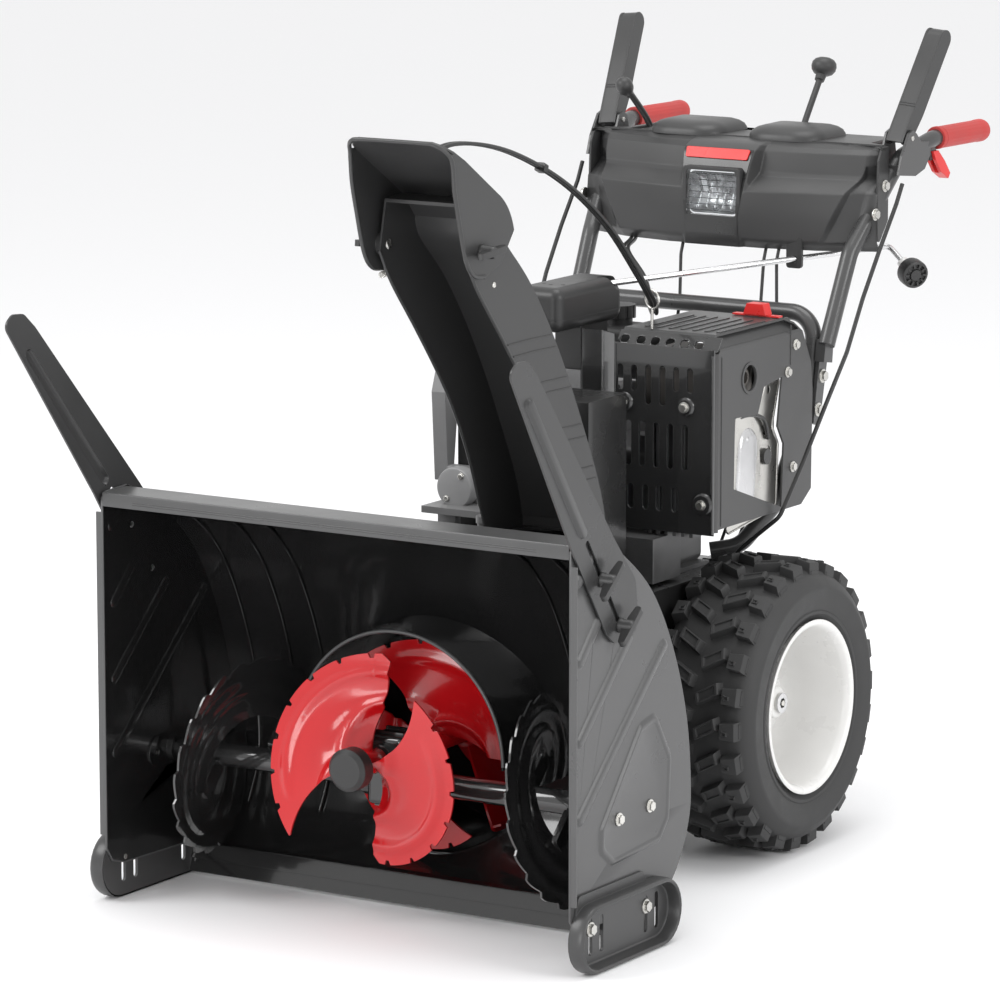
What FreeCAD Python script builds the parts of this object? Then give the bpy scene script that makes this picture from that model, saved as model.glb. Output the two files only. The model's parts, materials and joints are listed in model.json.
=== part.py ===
"""Walk-behind snow blower with a 30 in housing, built as separate parts.

Design frame, in millimetres: y = 0 is the mouth of the auger housing, z = 0 the ground,
x = 0 the middle plane.  The machine drives towards -Y and the operator stands at +Y.
save() moves every part so that the origin lies under the middle of the whole machine.
"""
import FreeCAD, Part
import math
import os

V = FreeCAD.Vector

# ---------------------------------------------------------------- driving dimensions
Y_SHIFT = -613.1          # from the housing mouth to the middle of the machine

HOUSING_HALF = 381.0      # inside half width between the side plates
SHEET = 2.5               # housing sheet
PLATE = 3.0               # side plate sheet
AUGER_Y, AUGER_Z = 162.0, 196.0
AUGER_R = 146.0
IMPELLER_Z = 231.0
BLADE_SWEEP = 142.0       # each lead-in blade turns this far round the shaft
BLADE_PITCH = 77.0        # and climbs this much along it
DRUM_R = 162.0
DRUM_BACK = 462.0

CHUTE_X, CHUTE_Y = 100.0, 398.0     # turning axis of the chute
CHUTE_HALF = 70.0
HOOD_Y, HOOD_Z = 100.0, 957.0       # pivot of the deflector hood

AXLE_Y, AXLE_Z = 793.0, 217.0
TYRE_R = 217.0
TYRE_IN, TYRE_OUT = 160.0, 320.0
RIM_R = 125.0

CRANK_Z = 520.0           # engine crankshaft height
HANDLE_X = 266.0          # grips
TUBE_R = 12.7

PARTS = {}


# ---------------------------------------------------------------- small shape helpers
def box(x0, x1, y0, y1, z0, z1):
    return Part.makeBox(x1 - x0, y1 - y0, z1 - z0, V(x0, y0, z0))


def soft_box(x0, x1, y0, y1, z0, z1, radius):
    """Box with every edge rounded."""
    solid = box(x0, x1, y0, y1, z0, z1)
    return solid.makeFillet(radius, solid.Edges)


def rod(start, end, radius):
    start, end = V(*start), V(*end)
    return Part.makeCylinder(radius, (end - start).Length, start, end - start)


def tube(start, end, r_out, r_in):
    return rod(start, end, r_out).cut(rod(start, end, r_in))


def prism(points, direction):
    """Straight prism on a closed outline of 3-D points."""
    loop = [V(*p) for p in points]
    loop.append(loop[0])
    return Part.Face(Part.makePolygon(loop)).extrude(V(*direction))


def slab_x(outline, x0, x1):
    return prism([(x0, y, z) for y, z in outline], (x1 - x0, 0, 0))


def slab_y(outline, y0, y1):
    return prism([(x, y0, z) for x, z in outline], (0, y1 - y0, 0))


def slab_z(outline, z0, z1):
    return prism([(x, y, z0) for x, y in outline], (0, 0, z1 - z0))


def spline(points):
    curve = Part.BSplineCurve()
    curve.interpolate([V(*p) for p in points])
    return curve.toShape()


def line(start, end):
    return Part.LineSegment(V(*start), V(*end)).toShape()


def offset(outline, gap):
    """Open (y, z) outline moved sideways by gap, to the left of its direction."""
    moved = []
    last = len(outline) - 1
    for i, (y, z) in enumerate(outline):
        before, after = outline[max(i - 1, 0)], outline[min(i + 1, last)]
        dy, dz = after[0] - before[0], after[1] - before[1]
        length = math.hypot(dy, dz)
        moved.append((y - gap * dz / length, z + gap * dy / length))
    return moved


def curved_slab(curve, closing, x0, x1):
    """Prism along X: a smooth curve of (y, z) points, closed by straight edges."""
    at = [(x0, y, z) for y, z in curve]
    corners = [at[-1]] + [(x0, y, z) for y, z in closing] + [at[0]]
    edges = [spline(at)]
    edges += [line(a, b) for a, b in zip(corners, corners[1:])]
    return Part.Face(Part.Wire(edges)).extrude(V(x1 - x0, 0, 0))


def turned(profile, centre, axis):
    """Solid of revolution from (radius, distance along axis) points."""
    flat = [V(r, 0, h) for r, h in profile]
    flat.append(flat[0])
    solid = Part.Face(Part.makePolygon(flat)).revolve(V(0, 0, 0), V(0, 0, 1), 360)
    return stand(solid, centre, axis)


def stand(shape, centre, axis):
    """Turn a shape built round +Z so that its axis points along axis, at centre."""
    turn = FreeCAD.Rotation(V(0, 0, 1), V(*axis))
    placed = shape.copy()
    placed.Placement = FreeCAD.Placement(V(*centre), turn).multiply(shape.Placement)
    return placed


def bent_path(points, radius):
    """Straight runs joined by tangent arcs."""
    pts = [V(*p) for p in points]
    edges, start = [], pts[0]
    for before, corner, after in zip(pts, pts[1:], pts[2:]):
        back, on = (before - corner).normalize(), (after - corner).normalize()
        half = back.getAngle(on) / 2
        reach = radius / math.tan(half)
        arc_in, arc_out = corner + back * reach, corner + on * reach
        middle = corner + (back + on).normalize() * (radius / math.sin(half) - radius)
        edges.append(Part.LineSegment(start, arc_in).toShape())
        edges.append(Part.Arc(arc_in, middle, arc_out).toShape())
        start = arc_out
    edges.append(Part.LineSegment(start, pts[-1]).toShape())
    return Part.Wire(edges)


def bent_tube(points, bend, r_out, r_in=0.0):
    path = bent_path(points, bend)
    first = V(*points[0])
    ring = Part.Wire(Part.makeCircle(r_out, first, V(*points[1]) - first))
    solid = path.makePipeShell([ring], True, False)
    if r_in:
        bore = Part.Wire(Part.makeCircle(r_in, first, V(*points[1]) - first))
        solid = solid.cut(path.makePipeShell([bore], True, False))
    return solid


def obround(a, b, width):
    """Slot outline in the (u, v) plane as a face in XY, from a to b."""
    (x0, y0), (x1, y1) = a, b
    length = math.hypot(x1 - x0, y1 - y0)
    ux, uy = (x1 - x0) / length, (y1 - y0) / length
    nx, ny = -uy * width / 2, ux * width / 2
    rx, ry = ux * width / 2, uy * width / 2
    arc_b = Part.Arc(V(x1 + nx, y1 + ny, 0), V(x1 + rx, y1 + ry, 0), V(x1 - nx, y1 - ny, 0))
    arc_a = Part.Arc(V(x0 - nx, y0 - ny, 0), V(x0 - rx, y0 - ry, 0), V(x0 + nx, y0 + ny, 0))
    return Part.Face(Part.Wire([
        Part.LineSegment(V(x0 + nx, y0 + ny, 0), V(x1 + nx, y1 + ny, 0)).toShape(),
        arc_b.toShape(),
        Part.LineSegment(V(x1 - nx, y1 - ny, 0), V(x0 - nx, y0 - ny, 0)).toShape(),
        arc_a.toShape(),
    ]))


# XY outlines are stood up in the plane of a wall by these two placements
SIDE_WALL = FreeCAD.Placement(V(0, 0, 0), FreeCAD.Rotation(V(0, 1, 0), V(0, 0, 1), V(1, 0, 0), "XYZ"))
FRONT_WALL = FreeCAD.Placement(V(0, 0, 0), FreeCAD.Rotation(V(1, 0, 0), V(0, 0, 1), V(0, -1, 0), "XYZ"))


def slot_x(a, b, width, x0, x1):
    """Slot through a wall that faces X; a and b are (y, z)."""
    face = obround(a, b, width)
    face.Placement = SIDE_WALL
    face.translate(V(x0, 0, 0))
    return face.extrude(V(x1 - x0, 0, 0))


def slot_y(a, b, width, y0, y1):
    """Slot through a wall that faces Y; a and b are (x, z)."""
    face = obround(a, b, width)
    face.Placement = FRONT_WALL
    face.translate(V(0, y0, 0))
    return face.extrude(V(0, y1 - y0, 0))


def join(shapes):
    shapes = list(shapes)
    return shapes[0].multiFuse(shapes[1:]).removeSplitter() if shapes[1:] else shapes[0]


def group(shapes):
    return Part.makeCompound(list(shapes))


def mirrored(shape):
    return shape.mirror(V(0, 0, 0), V(1, 0, 0))


def hex_bolt(head, direction, size=10.0, shank=8.0):
    """Hex head with washer; head is the seat of the washer, direction points outwards."""
    corners = [(size * 0.85 * math.cos(math.radians(a)), size * 0.85 * math.sin(math.radians(a)), 2.0)
               for a in range(0, 360, 60)]
    bolt = Part.makeCylinder(size * 1.15, 2.0).fuse(prism(corners, (0, 0, size * 0.55)))
    if shank:
        bolt = bolt.fuse(Part.makeCylinder(size * 0.45, shank, V(0, 0, -shank)))
    return stand(bolt, head, direction)


def save(name, shape):
    shape = shape.copy()
    shape.translate(V(0, Y_SHIFT, 0))
    PARTS[name] = shape
    shape.exportStep("parts/" + name + ".step")


# ---------------------------------------------------------------- auger housing
# back of the housing sheet, from the top front edge round to the scraper
HOUSING_BACK = [(58, 590), (116, 565), (206, 497), (267, 406), (306, 300), (318.5, 196),
                (309, 142.5), (282, 95.4), (252, 67.8), (215.5, 49)]


def housing_cavity(x_half):
    inner = offset(HOUSING_BACK, -SHEET)
    closing = [(inner[-1][0] - 60, inner[-1][1] - 3), (-40, inner[-1][1] - 3), (-40, inner[0][1])]
    return curved_slab(inner, closing, -x_half, x_half)


def housing_shell():
    inner = offset(HOUSING_BACK, -SHEET)
    back = curved_slab(HOUSING_BACK, [(150, 49), (0, 300), (0, 590)], -HOUSING_HALF, HOUSING_HALF)
    hollow = curved_slab(inner, [(150, 40), (-5, 300), (-5, inner[0][1])], -HOUSING_HALF, HOUSING_HALF)
    lip = box(-HOUSING_HALF, HOUSING_HALF, 0, SHEET, 572, 590)
    tail = slab_x([(216, 49), (213.2, 50), (204.2, 24), (207, 23)], -HOUSING_HALF, HOUSING_HALF)
    shell = join([back.cut(hollow), lip, tail])
    return shell.cut(rod((0, 230, IMPELLER_Z), (0, 345, IMPELLER_Z), DRUM_R))


def side_plate():
    curve = offset(HOUSING_BACK, 3.5)
    closing = [(42, 50), (14, 58), (0, 78), (0, 582), (10, 591)]
    x0, x1 = HOUSING_HALF, HOUSING_HALF + PLATE
    plate = curved_slab(curve, closing, x0, x1)
    flange = box(x1, x1 + 9, 0, PLATE, 98, 562)
    ribs = [((24, 430), (67, 475)), ((24, 321), (149, 439)), ((24, 214), (243, 413))]
    raised = [slot_x(a, b, 20, x1, x1 + 2.5) for a, b in ribs]
    panel = slab_x([(182, 318), (222, 326), (262, 262), (259, 167), (238, 139), (103, 132),
                    (73, 156), (73, 188)], x1, x1 + 2.5)
    holes = [rod((x0 - 1, y, z), (x1 + 4, y, z), 4.6)
             for y, z in (WING_BOLTS + SHOE_BOLTS + BEARING_BOLTS)]
    plate = join([plate, flange, panel] + raised)
    return plate.cut(group(holes)).cut(rod((x0 - 1, AUGER_Y, AUGER_Z), (x1 + 5, AUGER_Y, AUGER_Z), 15))


WING_BOLTS = [(69, 534), (117, 464)]
SHOE_BOLTS = [(44, 59), (191, 59)]
BEARING_BOLTS = [(121, 195), (204, 197)]


def scraper_bar():
    return slab_x([(201.1, 4.6), (214.8, 43.9), (219.5, 42.2), (205.9, 3)],
                  -HOUSING_HALF, HOUSING_HALF)


def skid_shoe():
    """Reversible shoe: deep rimmed dish with four height slots and a backing ledge."""
    x0, x1 = HOUSING_HALF + PLATE + 0.3, HOUSING_HALF + PLATE + 24
    body = slot_x((40, 48), (213, 48), 96, x0, x1)
    dish = slot_x((40, 48), (213, 48), 84, x0 + 4, x1 + 1)
    ledge = slab_x([(4, 60), (14, 110), (188, 110), (202, 60)], x0, x0 + 4)
    slots = [slot_x((y, 27), (y, 69), 10, x0 - 1, x1) for y in (44, 73, 191, 220)]
    return join([body.cut(dish), ledge]).cut(group(slots))


def impeller_drum():
    """Drum behind the housing, with its tangential outlet up to the chute seat."""
    wall = rod((0, 255, IMPELLER_Z), (0, DRUM_BACK, IMPELLER_Z), DRUM_R)
    bore = rod((0, 250, IMPELLER_Z), (0, DRUM_BACK - SHEET, IMPELLER_Z), DRUM_R - SHEET)
    outlet = box(30, DRUM_R, 345, 455, IMPELLER_Z, 500)
    passage = box(32.5, DRUM_R - SHEET, 347.5, 452.5, IMPELLER_Z, 501)
    drum = join([wall, outlet]).cut(join([bore, passage]))
    drum = drum.cut(housing_cavity(200))
    drum = drum.cut(rod((0, DRUM_BACK - 5, IMPELLER_Z), (0, DRUM_BACK + 5, IMPELLER_Z), 14))
    seat = Part.makeCylinder(74, 3, V(CHUTE_X, CHUTE_Y, 500))
    neck = Part.makeCylinder(58, 8, V(CHUTE_X, CHUTE_Y, 503))
    mouth = Part.makeCylinder(54, 20, V(CHUTE_X, CHUTE_Y, 498))
    return join([drum, seat, neck]).cut(mouth)


def impeller_hoop():
    """Flared guard round the upper half of the drum mouth."""
    outer = turned([(0, 0), (173, 0), (183, 150), (0, 150)], (0, 168, IMPELLER_Z), (0, 1, 0))
    inner = turned([(0, -1), (170.4, -1), (180.6, 151), (0, 151)], (0, 168, IMPELLER_Z), (0, 1, 0))
    upper = box(-200, 200, 160, 330, 226, 430)
    return outer.cut(inner).common(upper).common(housing_cavity(200))


# ---------------------------------------------------------------- augers and impeller
def spiral_blade(r_in, r_out, start, climb, sweep, thickness, reach=0.0):
    """Sheet blade round +Z that climbs from start while it turns through sweep degrees.

    reach is how much further out its inner edge is at both ends.
    """
    steps = round(sweep / 18)
    sections = []
    for step in range(steps + 1):
        z = start + climb * step / steps
        inner = r_in + reach * (2 * step / steps - 1) ** 4
        corners = [V(inner, 0, z), V(r_out, 0, z), V(r_out, 0, z + thickness), V(inner, 0, z + thickness)]
        wire = Part.makePolygon(corners + corners[:1])
        wire.rotate(V(0, 0, 0), V(0, 0, 1), sweep * step / steps)
        sections.append(wire)
    return Part.makeLoft(sections, True, False)


def blade_pair(front, turn):
    """Two opposite lead-in blades; front is where their tips start along the impeller shaft."""
    blades = []
    for start_angle in (turn, turn + 180):
        blade = spiral_blade(14, 150, front, BLADE_PITCH, BLADE_SWEEP, 3.5, 62)
        blade.rotate(V(0, 0, 0), V(0, 0, 1), start_angle)
        blades.append(stand(blade, (0, 0, IMPELLER_Z), (0, 1, 0)))
    return blades


def auger_spiral():
    """One side of the auger on its sleeve, built at +X."""
    start, length, blade = 192.0, 160.0, 4.0
    sleeve = Part.makeCylinder(17, 300, V(0, 0, 60)).cut(Part.makeCylinder(12.7, 300, V(0, 0, 60)))
    screw = spiral_blade(62, AUGER_R, start, length, 360, blade)
    arms = []
    for turn in (0.125, 0.625):
        arm = box(10, 72, -13, 13, start + length * turn - 3, start + length * turn + 7)
        arm.rotate(V(0, 0, 0), V(0, 0, 1), 360 * turn)
        arms.append(arm)
    bore = Part.makeCylinder(16, 320, V(0, 0, 50))
    arms = [arm.cut(bore) for arm in arms]
    return stand(join([sleeve, screw] + arms), (0, AUGER_Y, AUGER_Z), (1, 0, 0))


def auger_gearbox():
    case = soft_box(-30, 30, 132, 198, 162, 262, 8)
    barrel = rod((-44, AUGER_Y, AUGER_Z), (44, AUGER_Y, AUGER_Z), 27)
    snout = rod((0, 122, IMPELLER_Z), (0, 212, IMPELLER_Z), 20)
    ribs = [box(-24, 24, y, y + 5, 158, 266) for y in (145, 175)]
    bores = group([rod((-60, AUGER_Y, AUGER_Z), (60, AUGER_Y, AUGER_Z), 12.75),
                   rod((0, 100, IMPELLER_Z), (0, 230, IMPELLER_Z), 9.55)])
    return join([case, barrel, snout] + ribs).cut(bores)


def impeller():
    """Four-bladed fan that throws the snow up the chute, with a second lead-in pair before it."""
    y0, y1, radius = 336, 440, 155
    lead_hub = tube((0, 222, IMPELLER_Z), (0, y0, IMPELLER_Z), 17, 9.5)
    hub = tube((0, y0, IMPELLER_Z), (0, y1, IMPELLER_Z), 24, 9.5)
    disc = tube((0, y1, IMPELLER_Z), (0, y1 + 4, IMPELLER_Z), 90, 9.5)
    blades = []
    for quarter in range(4):
        web = box(20, radius - 3, -2, 2, y0, y1)
        tip = box(radius - 13, radius - 9, -2, 16, y0, y1)
        blade = join([web, tip])
        blade.rotate(V(0, 0, 0), V(0, 0, 1), 20 + 90 * quarter)
        blades.append(blade)
    turned_blades = stand(group(blades), (0, 0, IMPELLER_Z), (0, 1, 0))
    return join([hub, disc, lead_hub] + turned_blades.Solids + blade_pair(214, 232))


def accelerator():
    """First pair of lead-in blades, on the front of the impeller shaft."""
    hub = tube((0, 60, IMPELLER_Z), (0, 118, IMPELLER_Z), 17, 9.5)
    return join([hub] + blade_pair(50, 134))


# ---------------------------------------------------------------- wheels
def tyre():
    profile = [(RIM_R, 176), (150, 162), (188, TYRE_IN), (207, 166), (TYRE_R, 180),
               (TYRE_R, 292), (207, 305), (188, TYRE_OUT), (158, TYRE_OUT + 1), (RIM_R, 309),
               (RIM_R, 299), (196, 304), (203, 290), (203, 192), (196, 178), (RIM_R, 186)]
    return turned(profile, (0, AXLE_Y, AXLE_Z), (1, 0, 0))


def rim():
    """Deep dished wheel disc with its hub."""
    barrel = [(RIM_R - 0.2, 174), (RIM_R - 0.2, 312), (RIM_R + 4, 314), (RIM_R + 4, 318),
              (RIM_R - 3.2, 316), (RIM_R - 3.2, 196), (90, 190), (60, 236), (26, 236), (26, 262),
              (9.5, 262), (9.5, 230), (57, 230), (88, 184), (RIM_R - 6, 190), (RIM_R - 6, 174)]
    return turned(barrel, (0, AXLE_Y, AXLE_Z), (1, 0, 0))


# ---------------------------------------------------------------- chute and hood
CHUTE_FRONT = [(350, 515), (334, 558), (304, 634), (267, 703), (224, 764), (167, 834),
               (108, 903), (78, 950)]
CHUTE_BACK = [(450, 515), (442, 555), (399, 653), (353, 739), (278, 855), (234, 908),
              (200, 940), (177, 964), (168, 990)]


def chute_profile(back_gap, front_gap):
    """Side outline between a smooth back and front, as (y, z) edges in the plane x = 0."""
    back = offset(CHUTE_BACK, back_gap)
    front = offset(CHUTE_FRONT, front_gap)
    crown = [(138, 1023 - back_gap), (94, 1020 - back_gap)]
    back_edge = spline([(0, y, z) for y, z in back])
    front_edge = spline([(0, y, z) for y, z in reversed(front)])
    corners = [back[-1]] + crown + [front[-1]]
    top = [line((0,) + a, (0,) + b) for a, b in zip(corners, corners[1:])]
    foot = line((0,) + front[0], (0,) + back[0])
    return Part.Face(Part.Wire([back_edge] + top + [front_edge, foot]))


def chute():
    """C-section chute: two side walls and a back, open towards the front."""
    outer = chute_profile(0, 0)
    outer.translate(V(CHUTE_X - CHUTE_HALF, 0, 0))
    body = outer.extrude(V(2 * CHUTE_HALF, 0, 0))
    inner = chute_profile(3, 40)
    inner.translate(V(CHUTE_X - CHUTE_HALF + 3, 0, 0))
    hollow = inner.extrude(V(2 * CHUTE_HALF - 6, 0, 0))
    foot = box(CHUTE_X - 67, CHUTE_X + 67, 280, 447, 505, 530)
    pivots = rod((0, HOOD_Y, HOOD_Z), (200, HOOD_Y, HOOD_Z), 4.5)
    return body.cut(hollow).cut(foot).cut(pivots)


def chute_ring():
    """Toothed turntable under the chute."""
    flange = Part.makeCylinder(84, 3, V(0, 0, 512))
    ring = Part.makeCylinder(84, 8, V(0, 0, 504)).cut(Part.makeCylinder(58.3, 8, V(0, 0, 504)))
    teeth = []
    for i in range(40):
        tooth = box(82, 88, -3.2, 3.2, 504, 511)
        tooth.rotate(V(0, 0, 0), V(0, 0, 1), 9 * i)
        teeth.append(tooth)
    mouth = Part.makeCylinder(60, 6, V(0, 0, 510)).common(box(-66, 66, -47, 47, 510, 516))
    whole = join([flange, ring] + teeth).cut(mouth)
    whole.translate(V(CHUTE_X, CHUTE_Y, 0))
    return whole


def hood_outline(gap):
    """Deflector hood outline; gap > 0 gives the hollow inside it."""
    radius = 85 - gap
    centre = V(0, HOOD_Y, HOOD_Z)

    def on_barrel(angle):
        a = math.radians(angle)
        return centre + V(0, radius * math.cos(a), radius * math.sin(a))

    arc = Part.Arc(on_barrel(14), on_barrel(30), on_barrel(60))
    if gap:
        rest = [V(0, -20, 1131 - gap * 1.15), V(0, -20, 860), V(0, 175, 860)]
    else:
        rest = [V(0, 14, 1112), V(0, 5, 1109), V(0, 26, 1092), V(0, 30, 1046), V(0, 40, 1008),
                V(0, 58, 950), V(0, 78, 926), V(0, 105, 920), V(0, 150, 936)]
    corners = [on_barrel(60)] + rest + [on_barrel(14)]
    edges = [arc.toShape()]
    edges += [Part.LineSegment(a, b).toShape() for a, b in zip(corners, corners[1:])]
    return Part.Face(Part.Wire(edges))


def hood():
    outer = hood_outline(0)
    outer.translate(V(CHUTE_X - CHUTE_HALF - 12, 0, 0))
    body = outer.extrude(V(2 * CHUTE_HALF + 24, 0, 0))
    inner = hood_outline(3)
    inner.translate(V(CHUTE_X - CHUTE_HALF - 9, 0, 0))
    hollow = inner.extrude(V(2 * CHUTE_HALF + 18, 0, 0))
    lip = [(18, 880), (18, 1084), (22, 1098), (31, 1108), (44, 1113), (156, 1113), (169, 1108),
           (178, 1098), (182, 1084), (182, 880)]
    shell = body.cut(hollow).common(slab_y(lip, -20, 260))
    bosses = []
    for side in (-1, 1):
        x = CHUTE_X + side * (CHUTE_HALF + 0.4)
        bosses.append(rod((x, HOOD_Y, HOOD_Z), (x + side * 9, HOOD_Y, HOOD_Z), 16))
    shell = join([shell] + bosses)
    return shell.cut(rod((0, HOOD_Y, HOOD_Z), (200, HOOD_Y, HOOD_Z), 4.5))


def wing_knob(seat, direction, tilt=0.0):
    """Moulded wing knob on its stud; seat is where it bears."""
    barrel = Part.makeCylinder(9, 14)
    wing = slab_y([(-34, 14), (-30, 22), (30, 22), (34, 14), (10, 8), (-10, 8)], -4, 4)
    stud = Part.makeCylinder(4.2, 16, V(0, 0, -16))
    knob = join([barrel, wing, stud])
    knob.rotate(V(0, 0, 0), V(0, 0, 1), tilt)
    return stand(knob, seat, direction)


# ---------------------------------------------------------------- chute crank
ROD_LOW = V(-150, 590, 804)
ROD_HIGH = V(200, 1164, 842)


def chute_control_head():
    """Gear case at the foot of the chute and the post that carries the crank rod."""
    along = (ROD_HIGH - ROD_LOW).normalize()
    disc = rod((-86, 452, 556), (-86, 476, 556), 29)
    case = soft_box(-116, -56, 474, 494, 530, 584, 6)
    arm = box(-122, -6, 420, 476, 522, 532)
    pinion = Part.makeCylinder(9, 18, V(-2.5, CHUTE_Y, 504))
    lid = Part.makeCylinder(11, 10, V(-2.5, CHUTE_Y, 522))
    bridge = box(-14, 8, CHUTE_Y, 424, 522, 532)
    post = slab_x([(478, 560), (492, 560), (512, 735), (486, 735), (470, 690)], -136, -113)
    stay = bent_tube([(-124, 500, 728), (-124, 518, 785), (-148, 584, 804)], 12, 6)
    socket = rod(tuple(ROD_LOW - along * 16), tuple(ROD_LOW + along * 8), 10)
    bore = rod(tuple(ROD_LOW - along * 11), tuple(ROD_LOW + along * 9), 4.55)
    foot = box(-122, -92, 464, 478, 400, 524)
    head = join([disc, case, arm, pinion, lid, bridge, post, stay, socket, foot])
    return head.cut(bore)


KNOB_SEAT = V(249, 1186, 826)
KNOB_AXIS = V(22.3, -1, -19.9).normalize()


def crank_rod():
    along = (ROD_HIGH - ROD_LOW).normalize()
    throw = KNOB_SEAT - KNOB_AXIS * 30
    path = [ROD_LOW - along * 10, ROD_HIGH, throw, KNOB_SEAT]
    return bent_tube([tuple(p) for p in path], 10, 4.5)


def crank_knob():
    collar = stand(Part.makeCylinder(9, 14), tuple(KNOB_SEAT), tuple(KNOB_AXIS))
    wheel = stand(Part.makeCylinder(22, 24), tuple(KNOB_SEAT + KNOB_AXIS * 14), tuple(KNOB_AXIS))
    return join([collar, wheel])


# ---------------------------------------------------------------- frame and engine
def frame():
    """Folded steel chassis between the wheels."""
    side = [(DRUM_BACK, 95), (DRUM_BACK, 400), (905, 400), (905, 200), (850, 140), (600, 110)]
    outer = slab_x(side, -150, 150)
    inner = slab_x([(DRUM_BACK + 3, 80), (DRUM_BACK + 3, 397), (902, 397), (902, 203),
                    (846, 120), (600, 90)], -147, 147)
    body = outer.cut(inner)
    floor = slab_x([(600, 110), (600, 113), (850, 143), (850, 140)], -150, 150)
    bosses = []
    for side_sign in (-1, 1):
        x = side_sign * 146
        bosses.append(rod((x, AXLE_Y, AXLE_Z), (side_sign * 157, AXLE_Y, AXLE_Z), 24))
    body = join([body, floor] + bosses)
    body = body.cut(rod((-170, AXLE_Y, AXLE_Z), (170, AXLE_Y, AXLE_Z), 9.55))
    window = rod((0, DRUM_BACK - 5, IMPELLER_Z), (0, DRUM_BACK + 8, IMPELLER_Z), 40)
    return body.cut(window)


def half_axle():
    return join([rod((100, AXLE_Y, AXLE_Z), (264, AXLE_Y, AXLE_Z), 9.5),
                 rod((100, AXLE_Y, AXLE_Z), (110, AXLE_Y, AXLE_Z), 16),
                 rod((264, AXLE_Y, AXLE_Z), (268, AXLE_Y, AXLE_Z), 15)])


def engine_block():
    """Crankcase, finned cylinder and recoil starter housing."""
    case = soft_box(-95, 95, 710, 860, 404, 590, 12)
    sump = box(-95, 130, 650, 730, 404, 470)
    foot = box(-110, 110, 665, 850, 400, 406)
    barrel = box(60, 170, 712, 835, 480, 610)
    fins = [box(96 + 14 * i, 102 + 14 * i, 692, 845, 470, 640) for i in range(6)]
    recoil = rod((0, 858, CRANK_Z + 10), (0, 925, CRANK_Z + 10), 112)
    pull = join([rod((-86, 905, 640), (-86, 935, 640), 9), box(-110, -62, 930, 944, 630, 650)])
    bracket = box(-108, -84, 880, 934, 560, 650)
    intake = box(-90, -24, 700, 800, 588, 700)
    return join([case, sump, foot, barrel, recoil, bracket, pull, intake] + fins)


def muffler():
    body = soft_box(62, 196, 700, 834, 648, 736, 18)
    return join([body, tube((150, 782, 697), (206, 782, 697), 13, 9)])


def muffler_guard():
    """Black slotted heat guard in front of the engine."""
    front = box(45, 212, 681, 684, 478, 750)
    wing = slab_z([(45, 681), (45, 684), (12, 705), (-22, 705), (-22, 702), (11, 702)], 478, 762)
    slots = []
    for x, z0, z1 in [(55, 686, 714), (78, 686, 714), (102, 668, 716), (126, 668, 716),
                      (149, 690, 716), (172, 690, 716)]:
        slots.append(slot_y((x, z0), (x, z1), 10, 678, 686))
    for x in (69, 92, 116, 139, 164):
        slots.append(slot_y((x, 576), (x, 632), 10, 678, 686))
    for x in (73, 98, 121, 147):
        slots.append(slot_y((x, 512), (x, 539), 10, 678, 686))
    dimples = [rod((x, 675, z), (x, 681, z), r) for x, z, r in
               [(63, 664, 11), (166, 664, 11), (195, 523, 14)]]
    return join([front, wing]).cut(group(slots)).fuse(dimples)


COVER_SIDE = [(690, 486), (690, 742), (712, 768), (914, 768), (934, 760), (968, 698),
              (974, 655), (972, 506), (942, 486)]


def engine_cover():
    """Grey side and top cover of the engine."""
    body = slab_x(COVER_SIDE, 44, 214)
    inner = slab_x([(680, 480), (680, 741), (712, 765), (912, 765), (931, 757), (965, 697),
                    (990, 640), (1000, 480)], 40, 211)
    shell = body.cut(inner)
    bevel = slab_y([(190, 775), (220, 775), (220, 740)], 600, 1000)
    web = slab_y([(190, 765), (211, 741), (208, 741), (187, 765)], 700, 940)
    shell = join([shell.cut(bevel), web])
    holes = [rod((x, 680, 756), (x, 704, 752), 7) for x in (56, 81, 106, 131, 156, 181)]
    window = slab_x([(740, 643), (808, 640), (826, 678), (880, 686), (868, 614), (887, 585),
                     (881, 491), (738, 539)], 205, 220)
    port = rod((205, 782, 697), (220, 782, 697), 19)
    vents = [box(78 + 22 * i, 86 + 22 * i, 745, 860, 760, 770) for i in range(5)]
    return shell.cut(group(holes + [window, port] + vents))


def exhaust_deflector():
    """Zinc bracket and cast outlet seen through the side cover."""
    bracket = slab_x([(800, 500), (870, 500), (860, 690), (835, 690), (800, 620)], 197, 200)
    outlet = slab_x([(745, 520), (800, 505), (828, 540), (822, 620), (790, 652), (752, 640)],
                    200, 208)
    return join([bracket, outlet])


def air_box():
    body = soft_box(-96, -17, 628, 812, 762, 828, 16)
    relief = rod(tuple(ROD_LOW - (ROD_HIGH - ROD_LOW) * 0.1), tuple(ROD_HIGH), 12)
    neck = box(-70, -26, 704, 780, 700.3, 766)
    return join([body, neck]).cut(relief)


def fuel_tank():
    body = soft_box(-150, 30, 828, 935, 668, 742, 18)
    neck = rod((-70, 885, 738), (-70, 885, 752), 22)
    return join([body, neck])


def fuel_cap():
    top = rod((-70, 885, 752.4), (-70, 885, 772), 27)
    grips = []
    for i in range(12):
        a = math.radians(30 * i)
        spot = (-70 + 27 * math.cos(a), 885 + 27 * math.sin(a))
        grips.append(rod(spot + (752.4,), spot + (772,), 2.4))
    return top.cut(group(grips))


def belt_cover():
    outer = slab_z([(-110, 500), (110, 500), (110, 606), (-110, 606)], 406, 690)
    inner = slab_z([(-107, 503), (107, 503), (107, 610), (-107, 610)], 400, 687)
    crank_hole = rod((0, 600, CRANK_Z), (0, 620, CRANK_Z), 40)
    skirt = box(-110, 110, 497, 503, 401, 440)
    return join([outer.cut(inner), skirt]).cut(crank_hole)


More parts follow.
